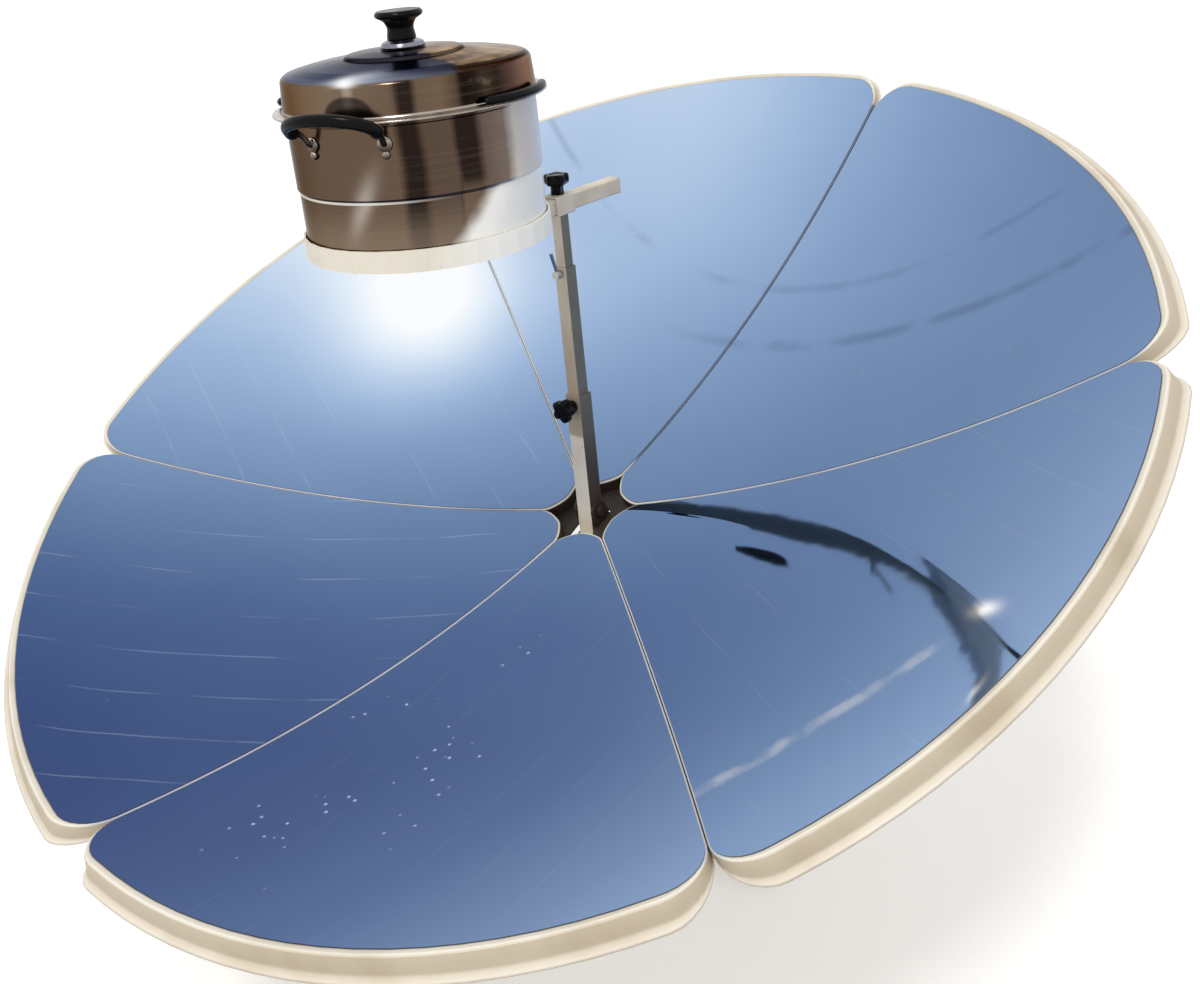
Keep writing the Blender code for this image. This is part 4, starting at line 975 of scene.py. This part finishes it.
def merged(*shapes):
    """One mesh of several."""
    whole = bmesh.new()
    for shape in shapes:
        data = bpy.data.meshes.new("part")
        shape.to_mesh(data)
        shape.free()
        whole.from_mesh(data)
        bpy.data.meshes.remove(data)
    return whole


for petal_index in range(PETALS):
    build_petal(petal_index)


# Pot, steamer and lid about the pot's axis
POT_RADIUS = 0.1380
POT_BASE_RADIUS = 0.1366
POT_WALL = 0.0014
POT_HEIGHT = 0.1535
LID_FOOT = 1.1124
LID_RADIUS = 0.1394
LID_SIDE = 0.036
LATHE_STEPS = 128
SHEET = 0.0012
STEAMER_FOOT = -0.052
STEAMER_HOLES = 6
STEAMER_HOLE_RADIUS = 0.008
STEAMER_HOLE_CIRCLE = 0.075
STEAMER_HOLE_START = math.radians(5)


def build_pot():
    low = POT_RADIUS - 0.0022
    rim = POT_RADIUS + 0.0030
    outer = [
        (0, 0, 0),
        (POT_BASE_RADIUS - 0.014, 0, 0),
        (POT_BASE_RADIUS - 0.012, 0.0006, 0.001),
        (POT_BASE_RADIUS, 0.0006, 0.010),
        (low, 0.0700, 0.003),
        (low + 0.0006, 0.0712, 0.0004),
        (POT_RADIUS + 0.0002, 0.0735, 0.0012),
        (POT_RADIUS, 0.0775, 0.001),
        (POT_RADIUS, POT_HEIGHT - 0.0058, 0.001),
        (POT_RADIUS + 0.0008, POT_HEIGHT - 0.0058, 0.0004),
        (rim, POT_HEIGHT - 0.0048, 0.0015),
        (rim, POT_HEIGHT, 0.002),
        (POT_RADIUS - POT_WALL, POT_HEIGHT, 0.0012),
        (POT_RADIUS - POT_WALL, 0.0745, 0.002),
        (low - POT_WALL, 0.0715, 0.002),
        (POT_BASE_RADIUS - POT_WALL, POT_WALL, 0.009),
        (0, POT_WALL, 0),
    ]
    shape = turned(outer, (POT_X, 0, POT_FOOT), LATHE_STEPS)
    make_piece("pot_body", shape, POT_STEEL, "pot", ["pot"])


def pierced_floor(edge_radius):
    """The steamer's flat floor with its round holes."""
    plate = bmesh.new()
    circles = [(0.0, 0.0, edge_radius, LATHE_STEPS)]
    for index in range(STEAMER_HOLES):
        bearing = STEAMER_HOLE_START + index * 2 * PI / STEAMER_HOLES
        x = STEAMER_HOLE_CIRCLE * math.cos(bearing)
        y = STEAMER_HOLE_CIRCLE * math.sin(bearing)
        circles.append((x, y, STEAMER_HOLE_RADIUS, 32))
    for x, y, radius, steps in circles:
        middle = Matrix.Translation((POT_X + x, y, POT_RIM + STEAMER_FOOT))
        bmesh.ops.create_circle(plate, segments=steps, radius=radius, matrix=middle)
    filled = bmesh.ops.triangle_fill(plate, use_beauty=True, edges=plate.edges)
    sheet = [item for item in filled["geom"] if isinstance(item, bmesh.types.BMFace)]
    raised = bmesh.ops.extrude_face_region(plate, geom=sheet, use_keep_orig=True)
    moved = [item for item in raised["geom"] if isinstance(item, bmesh.types.BMVert)]
    bmesh.ops.translate(plate, vec=(0, 0, SHEET), verts=moved)
    bmesh.ops.recalc_face_normals(plate, faces=plate.faces)
    return plate


def build_steamer():
    reach = POT_RADIUS + 0.0125
    side = 0.1316
    floor_edge = 0.118
    profile = [
        (floor_edge, STEAMER_FOOT, 0),
        (side - 0.003, STEAMER_FOOT, 0.006),
        (side, 0.0003, 0.0006),
        (reach - 0.001, 0.0003, 0.0004),
        (reach, -0.0007, 0.0004),
        (reach + 0.0006, -0.0002, 0.0003),
        (reach, 0.0015, 0.0006),
        (side - SHEET, 0.0015, 0.0006),
        (side - 0.0042, STEAMER_FOOT + SHEET, 0.005),
        (floor_edge, STEAMER_FOOT + SHEET, 0),
    ]
    wall = lathe(rounded(profile), (POT_X, 0, POT_RIM), LATHE_STEPS, closed=True)
    shape = merged(wall, pierced_floor(floor_edge))
    make_piece("steamer_basket", shape, RIM_STEEL, "steamer", ["steamer"])


def build_lid():
    top = LID_SIDE + 0.0175
    shoulder = LID_SIDE + 0.008 * 0.85
    crown = [
        (LID_RADIUS + 0.0004, -0.0002, 0.0003),
        (LID_RADIUS + 0.0008, 0.0016, 0.0006),
        (LID_RADIUS, 0.0026, 0.0006),
        (LID_RADIUS * 0.982, LID_SIDE - 0.0022, 0.006),
        (LID_RADIUS * 0.945, LID_SIDE + 0.0022, 0.012),
        (LID_RADIUS * 0.78, shoulder, 0.05),
        (0.0668, top - 0.0064, 0.002),
        (0.0645, top - 0.0036, 0.0025),
        (0.0615, top - 0.0026, 0.006),
        (0.033, top - 0.0008, 0.05),
        (0, top, 0),
    ]
    outer = rounded(crown, 5)
    inner = [
        (max(0, radius - SHEET * (radius > 0.001)), height - SHEET * (height > 0.02))
        for radius, height in outer
    ]
    shape = lathe(outer + list(reversed(inner)), (POT_X, 0, LID_FOOT), LATHE_STEPS, closed=True)
    make_piece("lid_shell", shape, LID_STEEL, "lid", ["lid"])
    base = [
        (0, 0, 0),
        (0.0245, 0, 0.0005),
        (0.0247, 0.0016, 0.0008),
        (0.0225, 0.0056, 0.003),
        (0.0165, 0.0080, 0.002),
        (0.0150, 0.0085, 0.0005),
        (0, 0.0085, 0),
    ]
    shape = turned(base, (POT_X, 0, LID_FOOT + top + GAP), 64)
    make_piece("knob_base", shape, BASE_STEEL, "lid", ["lid_knob_base"])
    knob = [
        (0, 0, 0),
        (0.0160, 0, 0.0008),
        (0.0156, 0.0040, 0.003),
        (0.0140, 0.0120, 0.012),
        (0.0178, 0.0190, 0.008),
        (0.0258, 0.0232, 0.003),
        (0.0265, 0.0262, 0.002),
        (0.0240, 0.0297, 0.003),
        (0.0150, 0.0290, 0.004),
        (0, 0.0300, 0),
    ]
    shape = turned(knob, (POT_X, 0, LID_FOOT + top + GAP * 2 + 0.0085), 64)
    make_piece("knob_grip", shape, BLACK, "lid", ["lid_knob"])


def around(bearing, radius, height):
    return Vector((POT_X + radius * math.cos(bearing), radius * math.sin(bearing), height))


HANDLE_BEARINGS = (math.radians(196.0), math.radians(16.0))
HANDLE_HALF_ANGLE = math.radians(18.5)
HANDLE_STEPS = 36
ROD_STEPS = 16
RIVET = ((0, 0, 0), (0.0085, 0, 0.0003), (0.0080, 0.0022, 0.001), (0.0035, 0.0034, 0.001), (0, 0.0034, 0))
BOLT = ((0, 0, 0), (0.0046, 0, 0.0003), (0.0042, 0.0030, 0.0015), (0, 0.0036, 0))
BOLT_DROP = 0.011
GRIP_BEARINGS = (math.radians(281.0), math.radians(101.0))
GRIP_HALF_ANGLE = math.radians(22.5)
GRIP_STEPS = 24


def bezier(corners, t):
    """The point at t on the curve through four control points."""
    a, b, c, d = corners
    return a * (1 - t) ** 3 + b * 3 * t * (1 - t) ** 2 + c * 3 * t * t * (1 - t) + d * t**3


def build_handle(index, bearing):
    """A loop handle and its two brackets, each with a riveted foot on the wall."""
    level = POT_RIM - 0.005
    start = POT_RADIUS + 0.018
    reach = 0.050 - 0.018 - 0.0065
    path = []
    for i in range(HANDLE_STEPS + 1):
        share = i / HANDLE_STEPS
        bulge = math.sin(PI * share) ** 0.6
        angle = bearing + HANDLE_HALF_ANGLE * math.cos(PI * share)
        path.append(around(angle, start + reach * bulge, level - 0.003 + 0.019 * bulge**1.6))

    def thickness(share):
        end = min(share, 1 - share)
        collar = 0.0008 if 0.02 < end < 0.06 else 0.0
        tip = 0.72 + 0.28 * min(1, end / 0.02)
        swell = 0.0006 * math.sin(PI * share)
        return (0.0058 + collar + swell) * tip, (0.0066 + collar) * tip

    grip = sweep(path, thickness, 18)
    name = "handle_grip_" + str(index + 1)
    make_piece(name, grip, BLACK, "pot", ["handle_" + str(index + 1)])
    ends = ((path[0], path[1], 1), (path[-1], path[-2], -1))
    for number, (tip, beyond, side) in enumerate(ends):
        angle = bearing + side * HANDLE_HALF_ANGLE
        inward = (tip - beyond).normalized()
        foot = level - 0.018
        corners = [
            around(angle, POT_RADIUS + GAP, foot),
            around(angle, POT_RADIUS + 0.008, foot),
            tip + inward * 0.009,
            tip + inward * GAP,
        ]
        line = [bezier(corners, i / ROD_STEPS) for i in range(ROD_STEPS + 1)]
        rod = sweep(line, lambda share: (0.0034, 0.0034), 12)
        facing = (math.cos(angle), math.sin(angle), 0)
        stand = aimed(around(angle, POT_RADIUS + GAP, foot), facing)
        low = Matrix.Translation((0, 0, -BOLT_DROP)) @ stand
        rivet = turned(RIVET, (0, 0, 0), 24)
        bolt = turned(BOLT, (0, 0, 0), 20)
        for head, at in ((rivet, stand), (bolt, low)):
            bmesh.ops.transform(head, matrix=at, verts=head.verts)
        serial = str(index * 2 + number + 1)
        whole = merged(rod, rivet, bolt)
        make_piece("bracket_" + serial, whole, BRACKET_STEEL, "pot", ["handle_bracket_" + serial])


def build_steamer_grip(index, bearing):
    """A black grip that lies on the steamer's flange."""
    level = POT_RIM + GAP + SHEET + GAP + 0.0050
    base = LID_RADIUS + 0.0050 + 0.003
    path = []
    for i in range(GRIP_STEPS + 1):
        share = 2 * i / GRIP_STEPS - 1
        path.append(around(bearing + GRIP_HALF_ANGLE * share, base + 0.006 * (1 - share**2), level))

    def thickness(share):
        end = min(share, 1 - share)
        tip = math.sqrt(min(1, 0.25 + end / 0.05))
        return 0.0050 * tip, 0.0048 * tip

    shape = sweep(path, thickness, 16)
    name = "basket_grip_" + str(index + 1)
    make_piece(name, shape, BLACK, "steamer", ["steamer_grip_" + str(index + 1)])


build_pot()
build_steamer()
build_lid()
for handle_index, handle_bearing in enumerate(HANDLE_BEARINGS):
    build_handle(handle_index, handle_bearing)
for grip_index, grip_bearing in enumerate(GRIP_BEARINGS):
    build_steamer_grip(grip_index, grip_bearing)


KNOB_POINTS = 60
KNOB_LOBES = 5
LOBE_DEPTH = 0.30


def star_knob(name, node, stud_length, place):
    """A five-lobed clamping knob on its stud, along its own +Z."""
    neck = stud_length + 0.012
    rings = [(0, 0.0040, 0), (stud_length, 0.0040, 0), (stud_length + 0.0001, 0.0080, 0)]
    rings += [(stud_length + 0.001, 0.0085, 0), (neck - 0.004, 0.0080, 0), (neck - 0.0015, 0.0092, 0.1)]
    rings += [(neck - 0.0002, 0.0125, 0.7), (neck + 0.0012, 0.0157, 1), (neck + 0.004, 0.0165, 1)]
    rings += [(neck + 0.010, 0.0165, 1), (neck + 0.0122, 0.0158, 1), (neck + 0.0130, 0.0142, 0.9)]
    rings += [(neck + 0.0130, 0.0092, 0.1), (neck + 0.0123, 0.0086, 0), (neck + 0.0123, 0.0001, 0)]
    shape = bmesh.new()
    loops = []
    for height, radius, lobed in rings:
        loop = []
        for i in range(KNOB_POINTS):
            angle = 2 * PI * i / KNOB_POINTS
            wave = (0.5 + 0.5 * math.cos(KNOB_LOBES * angle)) ** 0.75
            reach = radius * (1 - LOBE_DEPTH * lobed * (1 - wave))
            loop.append(shape.verts.new((reach * math.cos(angle), reach * math.sin(angle), height)))
        loops.append(loop)
    join_rings(shape, loops)
    make_piece(name, shape, BLACK, node, [node], place)


# Name, node and body, length of the stud, place and axis
KNOBS = (
    ("knob_post", "post_knob", 0.0025, (-0.0103, 0, HUB_HEIGHT + 0.155), (-1, 0, 0)),
    ("knob_tilt", "tilt_knob", 0.0069, (0, 0.0105, HUB_HEIGHT - 0.095), (0, 1, 0)),
    ("knob_swivel", "swivel_knob", 0.0042, (0, -0.0173, 0.3456), (0, -1, 0)),
    ("knob_arm", "arm_knob", 0.0025, (0, 0, ARM_Z + 0.0103), (0, 0, 1)),
)
for knob_name, knob_node, stud, point, axis in KNOBS:
    star_knob(knob_name, knob_node, stud, aimed(point, axis))


def numbered(stem, count):
    return [stem + "_" + str(i + 1) for i in range(count)]


# Carried-over CAD nodes and their paint
FINISHES = {
    POST_PAINT: ["post_outer", "post_middle", "post_inner"],
    ARM_PAINT: ["arm_tube", "arm_sleeve", "arm_cap"],
    RING_PAINT: ["pot_ring"],
    TUBE_PAINT: ["base_plate", "column", *numbered("leg", 4)],
    DARK_PAINT_AND_SHADE: ["hub_plate", "tilt_cheek", "tilt_quadrant", "hinge_bolt"],
    ZINC: ["swivel_head", "ring_bolt", "tee_bolt", *numbered("hub_nut", PETALS)],
    NYLON: ["swivel_bush"],
    RUBBER: numbered("foot", 4),
}
for finish, names in FINISHES.items():
    for node_name in names:
        data = nodes[node_name].data
        data.materials.clear()
        data.materials.append(finish)


# Floor, light and camera
def floor_material():
    paint = Paint("floor", 0.9)
    rays = paint.node("ShaderNodeLightPath")
    grain = paint.noise(paint.place(), 6.0, 4.0)
    paint.set("Base Color", paint.mix(grain, (0.86, 0.86, 0.85), (0.88, 0.88, 0.87)))
    paint.set("Emission Color", (1.0, 1.0, 1.0))
    paint.set("Emission Strength", paint.times(rays.outputs["Is Camera Ray"], 0.30))
    return paint.material


def build_floor():
    shape = bmesh.new()
    bmesh.ops.create_circle(shape, cap_ends=True, segments=96, radius=40)
    floor = linked("floor", mesh_of("floor", shape, floor_material()))


def build_world():
    world = bpy.data.worlds.new("studio")
    bpy.context.scene.world = world
    world.use_nodes = True
    tree = world.node_tree
    background = tree.nodes["Background"]
    rays = tree.nodes.new("ShaderNodeLightPath")
    seen = rays.outputs["Is Camera Ray"]
    for kind in ("Is Glossy Ray", "Is Transmission Ray"):
        either = tree.nodes.new("ShaderNodeMath")
        either.operation = "MAXIMUM"
        tree.links.new(seen, either.inputs[0])
        tree.links.new(rays.outputs[kind], either.inputs[1])
        seen = either.outputs[0]
    strength = tree.nodes.new("ShaderNodeMapRange")
    tree.links.new(seen, strength.inputs["Value"])
    strength.inputs["To Min"].default_value = 0.72
    strength.inputs["To Max"].default_value = 1.0
    background.inputs["Color"].default_value = (1, 1, 1, 1)
    tree.links.new(strength.outputs[0], background.inputs["Strength"])


def build_sun():
    lamp = bpy.data.lights.new("key", "SUN")
    lamp.energy = 1.1
    lamp.angle = math.radians(12)
    lamp.color = (1.0, 0.985, 0.96)
    key = linked("key", lamp)
    key.rotation_mode = "QUATERNION"
    key.rotation_quaternion = Vector((-0.48, -0.23, 0.85)).to_track_quat("Z", "Y")


def build_camera():
    lens = bpy.data.cameras.new("camera")
    lens.sensor_width = 36
    lens.sensor_fit = "HORIZONTAL"
    lens.lens = CAMERA_LENS
    lens.clip_end = 200
    camera = linked("camera", lens)
    turn = Matrix((Vector(CAMERA_RIGHT), -Vector(CAMERA_DOWN), -Vector(CAMERA_AHEAD))).transposed()
    camera.matrix_world = Matrix.Translation(CAMERA_PLACE) @ turn.to_4x4()
    bpy.context.scene.camera = camera


build_floor()
build_world()
build_sun()
build_camera()
bpy.context.scene.view_settings.view_transform = "Standard"
